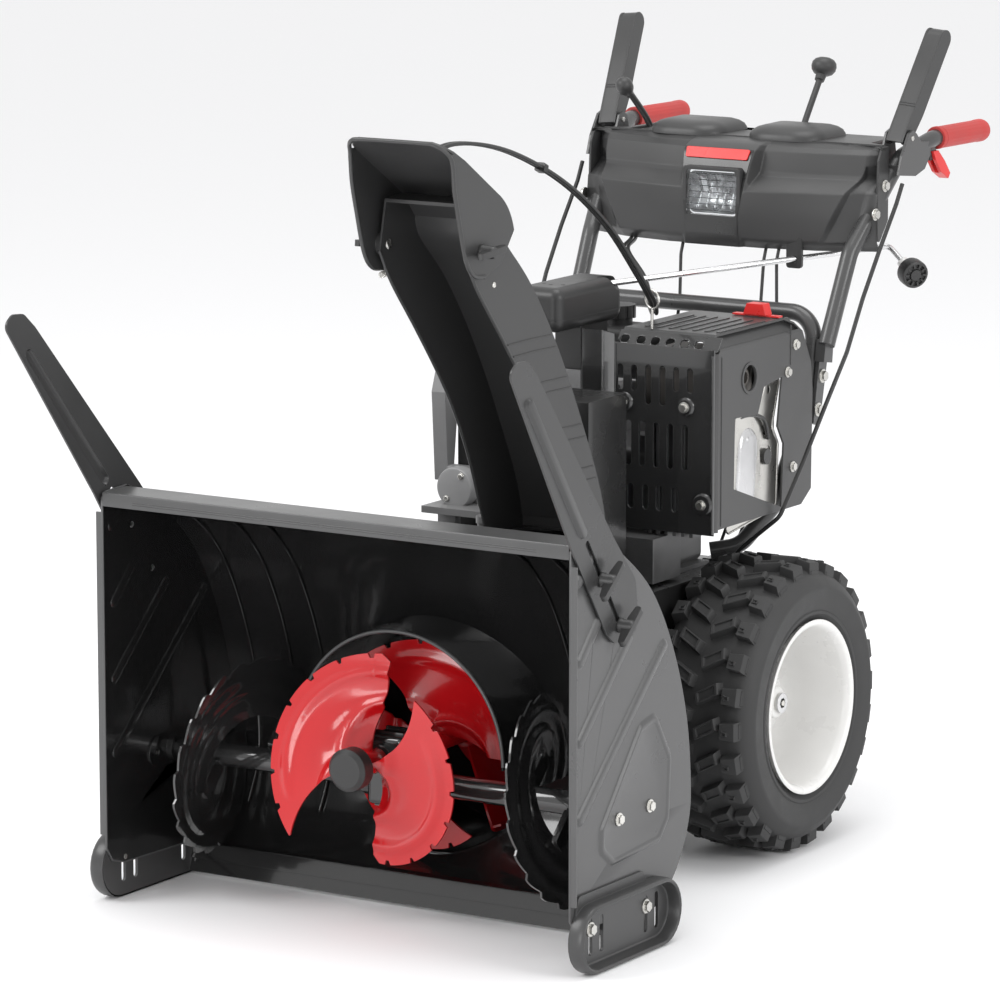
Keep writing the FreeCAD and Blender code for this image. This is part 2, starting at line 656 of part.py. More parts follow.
def throttle_knob():
    base = box(118, 196, 900, 912, 769, 771.5)
    grip = slab_y([(138, 771.5), (176, 771.5), (171, 788), (144, 788)], 896, 916)
    return join([base, grip])


# ---------------------------------------------------------------- handles and console
def lower_handle():
    """Hoop bolted to the deck: two legs and the cross bar behind the engine."""
    leg = [(92, 884, 412.9), (130, 906, 420), (165, 950, 480), (195, 992, 630), (195, 1018, 761)]
    path = leg + [(-x, y, z) for x, y, z in reversed(leg)]
    hoop = bent_tube(path, 42, TUBE_R)
    pads = [box(side * 104 - 16, side * 104 + 16, 868, 904, 400, 404) for side in (-1, 1)]
    return join([hoop] + pads)


UPPER_PATH = [(222, 1001, 718), (226, 1064, 850), (250, 1176, 984), (HANDLE_X, 1250, 1006),
              (HANDLE_X, 1416, 1004)]
PADDLE_X = 252.0
PADDLE_PIN = (1170, 1014)
TRIGGER_PIN = (1246, 982)


def upper_handle():
    """Left operator tube, at +X: flattened foot, rise through the dash, level grip end."""
    foot = slab_x([(978, 602), (996, 596), (1006, 636), (1024, 716), (1000, 722), (986, 650)],
                  208.2, 214)
    heel = slab_x([(990, 694), (1016, 690), (1020, 726), (996, 726)], 208.2, 224)
    pipe = bent_tube(UPPER_PATH, 50, TUBE_R)
    crest = [(1160, 1022), (1172, 1026), (1184, 1020)]
    inner = slab_x([(1146, 962), (1146, 990)] + crest + [(1192, 985), (1182, 958)], 231.5, 235)
    outer = slab_x([(1128, 962), (1138, 990)] + crest
                   + [(1200, 1006), (1230, 1004), (1230, 984), (1212, 964), (1182, 956)], 269, 273)
    saddle = box(231.5, 273, 1148, 1164, 962, 974)
    y, z = PADDLE_PIN
    pin_bore = rod((220, y, z), (290, y, z), 4.05)
    ty, tz = TRIGGER_PIN
    lug = box(HANDLE_X - 3, HANDLE_X + 3, ty - 10, ty + 10, tz - 8, tz + 12)
    lug_bore = rod((240, ty, tz), (300, ty, tz), 3.05)
    return join([foot, heel, pipe, saddle, lug, inner, outer]).cut(pin_bore).cut(lug_bore)


def grip():
    return tube((HANDLE_X, 1259, 1005.9), (HANDLE_X, 1412, 1004.05), 17.5, TUBE_R + 0.1)


def paddle():
    """Bail that the palm presses down on the grip: a deep channel open at the back."""
    y, z = PADDLE_PIN
    outline = [(0, 2), (16, 0), (180, 0), (193, 5), (198, 15), (193, 26), (180, 31), (60, 31),
               (24, 26), (2, 16)]
    hollow = [(30, 3), (180, 3), (190, 8), (194, 15), (190, 40), (30, 40)]

    def place_on(points):
        return [(y - 19.2 + 0.511 * t + 0.86 * d, z - 4.8 + 0.86 * t - 0.511 * d) for t, d in points]

    body = slab_x(place_on(outline), PADDLE_X - 15, PADDLE_X + 15)
    body = body.cut(slab_x(place_on(hollow), PADDLE_X - 12, PADDLE_X + 12))
    body.rotate(V(PADDLE_X, y, z), V(0, 0.86, -0.511), 5.5)
    boss = rod((PADDLE_X - 16.2, y, z), (PADDLE_X + 16.2, y, z), 8)
    pin = rod((230, y, z), (275, y, z), 4.0)
    return join([body, boss, pin])


def trigger():
    """Finger trigger under the grip that frees one wheel."""
    y, z = TRIGGER_PIN
    side = [(y - 8, z + 6), (y + 8, z + 6), (1276, 970), (1294, 950), (1288, 942), (1264, 954),
            (y, z - 8)]
    cheeks = [slab_x(side, HANDLE_X + 3.3, HANDLE_X + 8), slab_x(side, HANDLE_X - 8, HANDLE_X - 3.3)]
    bridge = slab_x([(1264, 976), (1276, 970), (1294, 950), (1288, 942), (1268, 952)],
                    HANDLE_X - 8, HANDLE_X + 8)
    pin = rod((HANDLE_X - 8, y, z), (HANDLE_X + 8, y, z), 3.0)
    return join(cheeks + [bridge, pin])


CONSOLE_SIDE = [(1044, 848), (1038, 905), (1060, 985), (1098, 1003), (1206, 1006), (1240, 985),
                (1240, 965), (1150, 900)]
CONSOLE_PLAN = [(252, 1135), (252, 1100), (226, 1072), (80, 1044)]
CONSOLE_REAR = [(205, 1240), (214, 1150)]


def both_ends(points):
    """Close a half plan, given from its +X end to the middle, with its mirror image."""
    return points + [(-x, y) for x, y in reversed(points)]


def console():
    """Hollow moulded dash between the handle tubes."""
    plan = both_ends(CONSOLE_REAR + CONSOLE_PLAN)
    body = slab_x(CONSOLE_SIDE, -252, 252).common(slab_z(plan, 840, 1020))
    inner_side = [(1048, 840), (1042, 905), (1064, 981), (1100, 999.5), (1204, 1002.5),
                  (1236, 983), (1236, 955), (1150, 888)]
    inner_plan = both_ends([(201, 1250), (210, 1147), (248, 1132), (248, 1102), (224, 1076),
                            (79, 1048)])
    hollow = slab_x(inner_side, -248, 248).common(slab_z(inner_plan, 830, 1016))
    domes = [soft_box(x0, x1, 1126, 1232, 985, 1024, 12) for x0, x1 in ((-168, -38), (4, 134))]
    shell = join([body.cut(hollow)] + domes)
    slots = [box(44, 68, 1176, 1240, 940, 1030), box(-200, -180, 1140, 1240, 935, 1030)]
    lamp = box(-44, 44, 1030, 1060, 893, 962)
    tubes = []
    for side in (-1, 1):
        path = [(side * x, y, z) for x, y, z in UPPER_PATH[:4]]
        tubes.append(bent_tube(path, 50, TUBE_R + 0.6))
    along = (ROD_HIGH - ROD_LOW).normalize()
    eyelet = box(120, 150, 1055, 1062, 820, 870)
    rod_bore = rod(tuple(ROD_HIGH - along * 200), tuple(ROD_HIGH), 4.55)
    shell = join([shell, eyelet])
    return shell.cut(group(slots + [lamp])).cut(group(tubes)).cut(rod_bore)


def headlight():
    lens = soft_box(-43.6, 43.6, 1041, 1054, 893.4, 961.6, 4)
    bowl = box(-40, 40, 1052, 1078, 897, 958)
    return join([lens, bowl])


def shift_lever():
    stick = bent_tube([(56, 1208, 950), (56, 1222, 1012), (56, 1284, 1092)], 20, 5)
    knob = Part.makeSphere(20, V(56, 1290, 1100))
    squash = box(34, 78, 1262, 1318, 1086, 1116)
    pivot = rod((46.4, 1208, 950), (65.6, 1208, 950), 8)
    return join([stick, knob.common(squash), pivot])


def joystick():
    stick = bent_tube([(-190, 1196, 950), (-190, 1180, 1010), (-190, 1116, 1066)], 20, 5)
    knob = turned([(0, 0), (9, 0), (13, 12), (13, 26), (8, 34), (0, 36)], (-190, 1118, 1062),
                  (0, -0.75, 0.66))
    pivot = rod((-197.6, 1196, 950), (-182.4, 1196, 950), 8)
    return join([stick, knob, pivot])


CUT_DIR = V(0, 117 - 69, 464 - 534).normalize()
SLOT_A = (69 - CUT_DIR.y * 66, 534 - CUT_DIR.z * 66)
SLOT_B = (117 + CUT_DIR.y * 6, 464 + CUT_DIR.z * 6)


def drift_cutter():
    """Wing bar that slits deep drifts; flat where it is bolted, then leaning outwards."""
    x0 = HOUSING_HALF + PLATE + 3.0
    outline = [(-190, 846), (-170, 860), (-145, 858), (-121, 837), (159, 520), (166, 470),
               (150, 441), (104, 441), (84, 455)]
    bend = [(x0, 430), (x0 + 3, 430), (x0 + 3, 590), (x0 + 20, 870), (x0 + 17, 870), (x0, 590)]
    ridge = [(x0 + 2, 430), (x0 + 6, 430), (x0 + 6, 590), (x0 + 23, 870), (x0 + 19, 870),
             (x0 + 2, 590)]
    bar = slab_x(outline, x0 - 1, x0 + 40).common(slab_y(bend, -220, 220))
    rib = slot_x((-138, 800), (16, 606), 18, x0 - 1, x0 + 40).common(slab_y(ridge, -220, 220))
    slot = slot_x(SLOT_A, SLOT_B, 9.4, x0 - 1, x0 + 40)
    return join([bar, rib]).cut(slot)


# ---------------------------------------------------------------- small hardware, cables
def fasteners():
    """Zinc bolts, nuts and the cable ring: separate solids, all fixed to the machine."""
    out = HOUSING_HALF + PLATE
    items = []
    for side in (-1, 1):
        for y, z in BEARING_BOLTS:
            items.append(hex_bolt((side * (out + 2.6), y, z), (side, 0, 0), 8, 6))
        for y, z in SHOE_BOLTS:
            items.append(hex_bolt((side * (out + 4.4), y, z), (side, 0, 0), 9, 8))
        for y, z in [(1003, 671), (990, 622)]:
            items.append(hex_bolt((side * 214.1, y, z), (side, 0, 0), 9, 0))
        for y, z in [(1092, 906), (1122, 946)]:
            items.append(hex_bolt((side * 252.1, y, z), (side, 0, 0), 8, 0))
    for x, z in [(63, 664), (166, 664), (195, 523)]:
        items.append(hex_bolt((x, 675, z), (0, -1, 0), 7, 0))
    items.append(hex_bolt((30, 690.1, 494), (-0.5255, -0.851, 0), 7, 0))
    for y, z in [(919, 729), (895, 691), (913, 547)]:
        items.append(hex_bolt((214.1, y, z), (1, 0, 0), 7, 0))
    for x, z in ((-74, 574), (-98, 540)):
        items.append(hex_bolt((x, 452, z), (0, -1, 0), 5, 0))
    ring = Part.makeTorus(14, 2, V(90, 712, 812), V(0.3, 1, 0.1))
    stem = rod((90, 712, 768), (90, 712, 799.5), 2.2)
    items.append(join([ring, stem]))
    return group(items)


def bearings():
    """Auger end bearings inside the side plates and the rear impeller bearing."""
    items = []
    for side in (-1, 1):
        x = side * HOUSING_HALF
        plate = slot_x((125, 196), (200, 196), 46, min(x, x - side * 3), max(x, x - side * 3))
        boss = rod((x - side * 3, AUGER_Y, AUGER_Z), (x - side * 12, AUGER_Y, AUGER_Z), 20)
        bore = rod((x + side * 5, AUGER_Y, AUGER_Z), (x - side * 20, AUGER_Y, AUGER_Z), 12.75)
        holes = [rod((x + 9, y, z), (x - 9, y, z), 4.6) for y, z in BEARING_BOLTS]
        items.append(join([plate, boss]).cut(bore).cut(group(holes)))
    flange = rod((0, DRUM_BACK + 3.2, IMPELLER_Z), (0, DRUM_BACK + 9, IMPELLER_Z), 44)
    boss = rod((0, DRUM_BACK + 3.2, IMPELLER_Z), (0, DRUM_BACK + 24, IMPELLER_Z), 26)
    bore = rod((0, DRUM_BACK - 2, IMPELLER_Z), (0, DRUM_BACK + 40, IMPELLER_Z), 9.55)
    items.append(join([flange, boss]).cut(bore))
    return group(items)


def control_cables():
    """Clutch, drive and shift cables from the controls down to the chassis."""
    runs = []
    for side in (-1, 1):
        route = [(279, 1128, 950), (278, 1112, 922), (277, 1062, 858), (275, 1014, 790),
                 (272, 972, 715), (262, 925, 640), (246, 888, 560), (222, 862, 480),
                 (168, 848, 432), (139, 846, 401.5)]
        runs.append(bent_tube([(side * x, y, z) for x, y, z in route], 30, 3.2))
    for x, low in ((-60, -50), (84, 90), (106, 118)):
        runs.append(bent_tube([(x, 1075, 880), (x, 1055, 830), (low, 1035, 760), (low, 990, 600),
                               (low, 960, 470), (low * 0.9, 907, 380)], 40, 2.5))
    return group(runs)


def deflector_cables():
    """Two hood cables: down from the hood, through the ring and up to the joystick."""
    runs = []
    for shift in (0, 7.5):
        x = 86 + shift
        runs.append(bent_tube([(x, 88, 1076), (x, 170, 1090), (x, 285, 1074), (x, 400, 1036),
                               (x, 500, 988), (x, 590, 928), (x, 660, 864), (x, 712, 810),
                               (x - 30, 770, 782), (x - 90, 860, 784), (x - 150, 940, 808),
                               (x - 220, 1010, 836), (x - 245, 1075, 846),
                               (x - 258, 1120, 880)], 40, 3.0))
    clip = box(82, 97.5, 399, 409, 1028, 1041)
    return join(runs + [clip])


# ---------------------------------------------------------------- write every part
def pair(name, shape):
    save(name + "_left", shape)
    save(name + "_right", mirrored(shape))


def write_housing():
    save("housing_shell", housing_shell())
    pair("side_plate", side_plate())
    save("scraper_bar", scraper_bar())
    pair("skid_shoe", skid_shoe())
    save("impeller_drum", impeller_drum())
    save("impeller_hoop", impeller_hoop())
    pair("drift_cutter", drift_cutter())
    out = HOUSING_HALF + PLATE
    knobs = [wing_knob((side * (out + 6.3), y, z), (side, 0, 0), 40)
             for side in (-1, 1) for y, z in WING_BOLTS]
    save("wing_knobs", group(knobs))


def write_rotors():
    save("auger_shaft", rod((-378, AUGER_Y, AUGER_Z), (378, AUGER_Y, AUGER_Z), 12.7))
    pair("auger_spiral", auger_spiral())
    save("auger_gearbox", auger_gearbox())
    save("impeller_shaft", rod((0, 60, IMPELLER_Z), (0, 500, IMPELLER_Z), 9.5))
    save("impeller", impeller())
    save("accelerator", accelerator())
    cap = turned([(0, 0), (24, 0), (30, 6), (30, 26), (9.5, 26), (9.5, 24), (0, 24)],
                 (0, 34, IMPELLER_Z), (0, 1, 0))
    save("accelerator_cap", cap)
    save("bearings", bearings())


def write_chute():
    save("chute", chute())
    save("chute_ring", chute_ring())
    save("hood", hood())
    knobs = []
    for side in (-1, 1):
        seat = CHUTE_X + side * (CHUTE_HALF + 12.3)
        knobs.append(wing_knob((seat, HOOD_Y, HOOD_Z), (side, 0, 0), 5))
    save("hood_knobs", group(knobs))
    save("chute_control_head", chute_control_head())
    save("crank_rod", crank_rod())
    save("crank_knob", crank_knob())


def write_drive():
    save("frame", frame())
    pair("tyre", tyre())
    pair("rim", rim())
    pair("half_axle", half_axle())
    save("engine_block", engine_block())
    save("muffler", muffler())
    save("muffler_guard", muffler_guard())
    save("engine_cover", engine_cover())
    save("exhaust_deflector", exhaust_deflector())
    save("air_box", air_box())
    save("fuel_tank", fuel_tank())
    save("fuel_cap", fuel_cap())
    save("belt_cover", belt_cover())
    save("throttle_knob", throttle_knob())


def write_controls():
    save("lower_handle", lower_handle())
    pair("upper_handle", upper_handle())
    pair("grip", grip())
    pair("paddle", paddle())
    pair("trigger", trigger())
    save("console", console())
    save("headlight", headlight())
    save("shift_lever", shift_lever())
    save("joystick", joystick())
    save("fasteners", fasteners())
    save("control_cables", control_cables())
    save("deflector_cables", deflector_cables())


def report():
    whole = FreeCAD.BoundBox()
    for name, shape in PARTS.items():
        whole.add(shape.BoundBox)
        state = "" if shape.isValid() else "  NOT VALID"
        print(f"{name:22s} {len(shape.Solids):3d} solids {shape.Volume / 1000:10.1f} cm3{state}")
    print(len(PARTS), "parts, box", whole)


os.makedirs("parts", exist_ok=True)
write_housing()
write_rotors()
write_chute()
write_drive()
write_controls()
report()
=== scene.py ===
"""Looks of the walk-behind snow blower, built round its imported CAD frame.

Lengths are in millimetres in the design frame: y = 0 is the mouth of the auger housing, z = 0 the ground.
place() turns them into metres in the scene.  +X is the operator's left, the machine drives towards -Y.
"""
import json
from math import atan2, cos, degrees, exp, pi, radians, sin, tan, tau

import bmesh
import bpy
from mathutils import Matrix, Vector, geometry


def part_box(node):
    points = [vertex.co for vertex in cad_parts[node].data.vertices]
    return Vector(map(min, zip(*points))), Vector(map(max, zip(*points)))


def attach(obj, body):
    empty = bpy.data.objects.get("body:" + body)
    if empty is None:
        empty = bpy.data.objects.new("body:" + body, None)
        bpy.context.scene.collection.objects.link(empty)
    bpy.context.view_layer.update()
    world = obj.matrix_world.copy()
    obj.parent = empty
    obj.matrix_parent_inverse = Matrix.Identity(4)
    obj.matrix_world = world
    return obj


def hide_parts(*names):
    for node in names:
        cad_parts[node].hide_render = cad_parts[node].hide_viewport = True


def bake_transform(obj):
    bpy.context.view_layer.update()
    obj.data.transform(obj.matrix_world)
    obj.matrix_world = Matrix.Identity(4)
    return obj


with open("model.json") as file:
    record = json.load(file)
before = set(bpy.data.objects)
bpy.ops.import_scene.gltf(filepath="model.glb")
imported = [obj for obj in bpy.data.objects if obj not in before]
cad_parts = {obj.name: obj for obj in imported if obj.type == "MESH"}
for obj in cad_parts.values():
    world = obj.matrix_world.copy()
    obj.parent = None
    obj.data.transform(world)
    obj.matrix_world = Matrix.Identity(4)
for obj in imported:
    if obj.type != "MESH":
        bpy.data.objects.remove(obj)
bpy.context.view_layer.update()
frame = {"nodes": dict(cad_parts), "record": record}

MM = 0.001
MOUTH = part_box("housing_shell")[0].y          # scene y of the housing mouth, in metres
NODES = frame["nodes"]
SLOT_OF = {part["node"]: part["material_slot"] for part in frame["record"]["subparts"]}


def place(x, y, z):
    return Vector((x * MM, MOUTH + y * MM, z * MM))


# ---------- materials
def grey(level):
    return (level, level, level * 1.01, 1.0)


class Look:
    """A material under construction, with a Principled shader and object coordinates."""

    def __init__(self, name):
        self.material = bpy.data.materials.new(name)
        self.material.use_nodes = True
        self.nodes = self.material.node_tree.nodes
        self.links = self.material.node_tree.links
        self.shader = self.nodes["Principled BSDF"]
        self.coords = self.nodes.new("ShaderNodeTexCoord").outputs["Object"]

    def feed(self, socket, value):
        if isinstance(value, bpy.types.NodeSocket):
            self.links.new(value, socket)
        else:
            socket.default_value = value

    def put(self, kind, inputs=None, **settings):
        node = self.nodes.new(kind)
        for key, value in settings.items():
            setattr(node, key, value)
        for key, value in (inputs or {}).items():
            self.feed(node.inputs[key], value)
        return node

    def noise(self, scale, detail=3.0, rough=0.55, stretch=(1, 1, 1)):
        space = self.put("ShaderNodeMapping", {"Vector": self.coords, "Scale": stretch})
        return self.put("ShaderNodeTexNoise", {"Vector": space.outputs[0], "Scale": scale,
                                               "Detail": detail, "Roughness": rough}).outputs["Fac"]

    def spread(self, value, low, high, start=0.3, end=0.7):
        return self.put("ShaderNodeMapRange", {"Value": value, "From Min": start, "From Max": end,
                                               "To Min": low, "To Max": high}).outputs["Result"]

    def mix(self, share, first, second):
        node = self.put("ShaderNodeMix", data_type="RGBA")
        for index, value in ((0, share), (6, first), (7, second)):
            self.feed(node.inputs[index], value)
        return node.outputs[2]

    def set(self, **values):
        names = {"colour": "Base Color", "rough": "Roughness", "metal": "Metallic", "coat": "Coat Weight",
                 "coat_rough": "Coat Roughness", "normal": "Normal", "ior": "IOR",
                 "transmission": "Transmission Weight"}
        for key, value in values.items():
            self.feed(self.shader.inputs[names[key]], value)


def shade(colour, factor):
    return tuple(min(1.0, c * factor) for c in colour[:3]) + (1.0,)


LOOKS = {}


def surface(name, colour, rough, metal=0.0, coat=0.0, grain=900, depth=0.05, mottle=0.12, edge_highlight=0.0,
            stretch=(1, 1, 1), soften=0.0012, patch=14):
    """Painted, moulded or bare surface: patchy tone, uneven gloss, fine grain, and edges lightened in colour
    as a painted highlight.
    """
    look = Look(name)
    patches = look.noise(patch, 4.0)
    fine = look.noise(grain, 2.0, 0.6, stretch)
    tone = look.mix(look.spread(patches, 0.0, 1.0), shade(colour, 1 - mottle), shade(colour, 1 + mottle))
    tone = look.mix(look.spread(fine, 0.0, 1.0), tone, look.mix(0.5, tone, shade(colour, 1 + mottle * 1.5)))
    edge = look.put("ShaderNodeBevel", {"Radius": soften}, samples=4)
    # Edges are lightened in colour towards 2.2 times the base: a painted highlight, not wear.
    if edge_highlight:
        flat = look.put("ShaderNodeNewGeometry").outputs["Normal"]
        bend = look.put("ShaderNodeVectorMath", {0: edge.outputs[0], 1: flat}, operation="DOT_PRODUCT")
        rim = look.spread(bend.outputs["Value"], edge_highlight, 0.0, 0.88, 0.99)
        tone = look.mix(rim, tone, shade(colour, 2.2))
    bump = look.put("ShaderNodeBump", {"Height": fine, "Strength": 0.35, "Distance": depth * MM,
                                       "Normal": edge.outputs[0]})
    look.set(colour=tone, rough=look.spread(patches, rough * 0.88, min(1.0, rough * 1.14)), metal=metal,
             coat=coat, coat_rough=0.06, normal=bump.outputs[0])
    LOOKS[name] = look.material


RED = (0.48, 0.006, 0.009, 1)
surface("bucket_black", grey(0.011), 0.15, coat=0.7, grain=500, depth=0.03, mottle=0.1)
surface("cutter_grey", grey(0.036), 0.30, grain=1100, mottle=0.06, edge_highlight=0.3)
surface("flight_black", grey(0.016), 0.14, coat=1.0, grain=500, mottle=0.1, edge_highlight=0.5)
surface("plate_grey", grey(0.072), 0.30, grain=1100, mottle=0.06, edge_highlight=0.25)
surface("shoe_black", grey(0.045), 0.33, edge_highlight=0.3)
surface("impeller_red", RED, 0.17, coat=0.45, grain=400, depth=0.03, mottle=0.05)
surface("cap_black", grey(0.022), 0.42, grain=1600, depth=0.08)
surface("bright_steel", grey(0.62), 0.26, metal=1.0, grain=700, depth=0.04, stretch=(1, 1, 8))
surface("chute_grey", grey(0.036), 0.36, grain=2400, depth=0.10, mottle=0.05, edge_highlight=0.12)
surface("knob_plastic", grey(0.03), 0.40, grain=1800, depth=0.08)
surface("head_grey", grey(0.15), 0.40, grain=1500, depth=0.07)
surface("head_pale", grey(0.24), 0.36, grain=1500, depth=0.07)
surface("frame_black", grey(0.012), 0.28, coat=0.3, grain=700)
surface("tyre_rubber", grey(0.028), 0.62, grain=1300, depth=0.25, mottle=0.22, patch=30)
surface("rim_white", (0.74, 0.735, 0.72, 1), 0.28, grain=800, mottle=0.03, coat=0.25)
surface("cast_aluminium", grey(0.20), 0.48, metal=0.85, grain=1100, depth=0.35, mottle=0.2)
surface("muffler_steel", (0.16, 0.15, 0.14, 1), 0.42, metal=0.8, grain=700, mottle=0.3)
surface("guard_black", grey(0.020), 0.20, coat=0.8, grain=1300, depth=0.10, edge_highlight=0.1)
surface("box_grey", grey(0.026), 0.36, grain=2300, depth=0.09, mottle=0.05, edge_highlight=0.1)
surface("cover_grey", grey(0.047), 0.34, grain=2300, depth=0.09, mottle=0.05, edge_highlight=0.1)
surface("zinc", (0.62, 0.61, 0.58, 1), 0.28, metal=1.0, mottle=0.15)
surface("tank_black", grey(0.022), 0.42, grain=1600, depth=0.08)
surface("red_plastic", (0.62, 0.02, 0.018, 1), 0.30, grain=1700)
surface("grip_red", (0.42, 0.035, 0.032, 1), 0.55, grain=1500, depth=0.15)
surface("tube_black", grey(0.05), 0.30, coat=0.2, grain=1000, mottle=0.08)
surface("console_grey", grey(0.034), 0.40, grain=2300, depth=0.12, mottle=0.05, edge_highlight=0.08, soften=0.003)
surface("paddle_black", grey(0.032), 0.40, grain=2000, depth=0.10, edge_highlight=0.08)
surface("lamp_clear", (0.75, 0.77, 0.78, 1), 0.10, metal=0.9, grain=300, depth=0.3)
surface("cable_black", grey(0.014), 0.38, grain=2000, depth=0.06)


def dress(node, look):
    data = NODES[node].data
    data.materials.clear()
    data.materials.append(look)


for node_name in NODES:
    dress(node_name, LOOKS[SLOT_OF[node_name]])
dress("air_box", LOOKS["box_grey"])


# ---------- geometry
def arc(centre, radius, start, end, steps):
    """Points on a circle in a plane, angles in degrees."""
    turns = [radians(start + (end - start) * i / steps) for i in range(steps + 1)]
    return [(centre[0] + radius * cos(t), centre[1] + radius * sin(t)) for t in turns]


def rounded(outline, radius, steps=5):
    """A closed outline with its corners rounded; radius may be one number or one for each corner."""
    count = len(outline)
    radii = radius if isinstance(radius, (list, tuple)) else [radius] * count
    result = []
    for i, corner in enumerate(outline):
        here = Vector(corner)
        before, after = Vector(outline[i - 1]) - here, Vector(outline[(i + 1) % count]) - here
        half = before.angle(after) / 2
        if radii[i] <= 0 or half > 1.55:
            result.append(tuple(here))
            continue
        back = min(radii[i] / tan(half), before.length * 0.49, after.length * 0.49)
        size = back * tan(half)
        centre = here + (before.normalized() + after.normalized()).normalized() * size / sin(half)
        first = here + before.normalized() * back - centre
        last = here + after.normalized() * back - centre
        turn = atan2(first.x * last.y - first.y * last.x, first.dot(last))
        for k in range(steps + 1):
            t = turn * k / steps
            result.append((centre.x + first.x * cos(t) - first.y * sin(t),
                           centre.y + first.x * sin(t) + first.y * cos(t)))
    return result


def oblong(x0, x1, y0, y1, radius=0, steps=5):
    """Outline of a rectangle; its corners are rounded when a radius is given."""
    corners = [(x0, y0), (x1, y0), (x1, y1), (x0, y1)]
    return rounded(corners, radius, steps) if radius else corners


def frame_of(direction, centre, spin=0.0):
    """Local Z along direction, at centre."""
    turn = Vector(direction).to_track_quat("Z", "Y").to_matrix().to_4x4()
    return Matrix.Translation(centre) @ turn @ Matrix.Rotation(radians(spin), 4, "Z")


ALONG = {"X": lambda u, v, w: (w, u, v), "Y": lambda u, v, w: (u, w, v), "Z": lambda u, v, w: (u, v, w)}


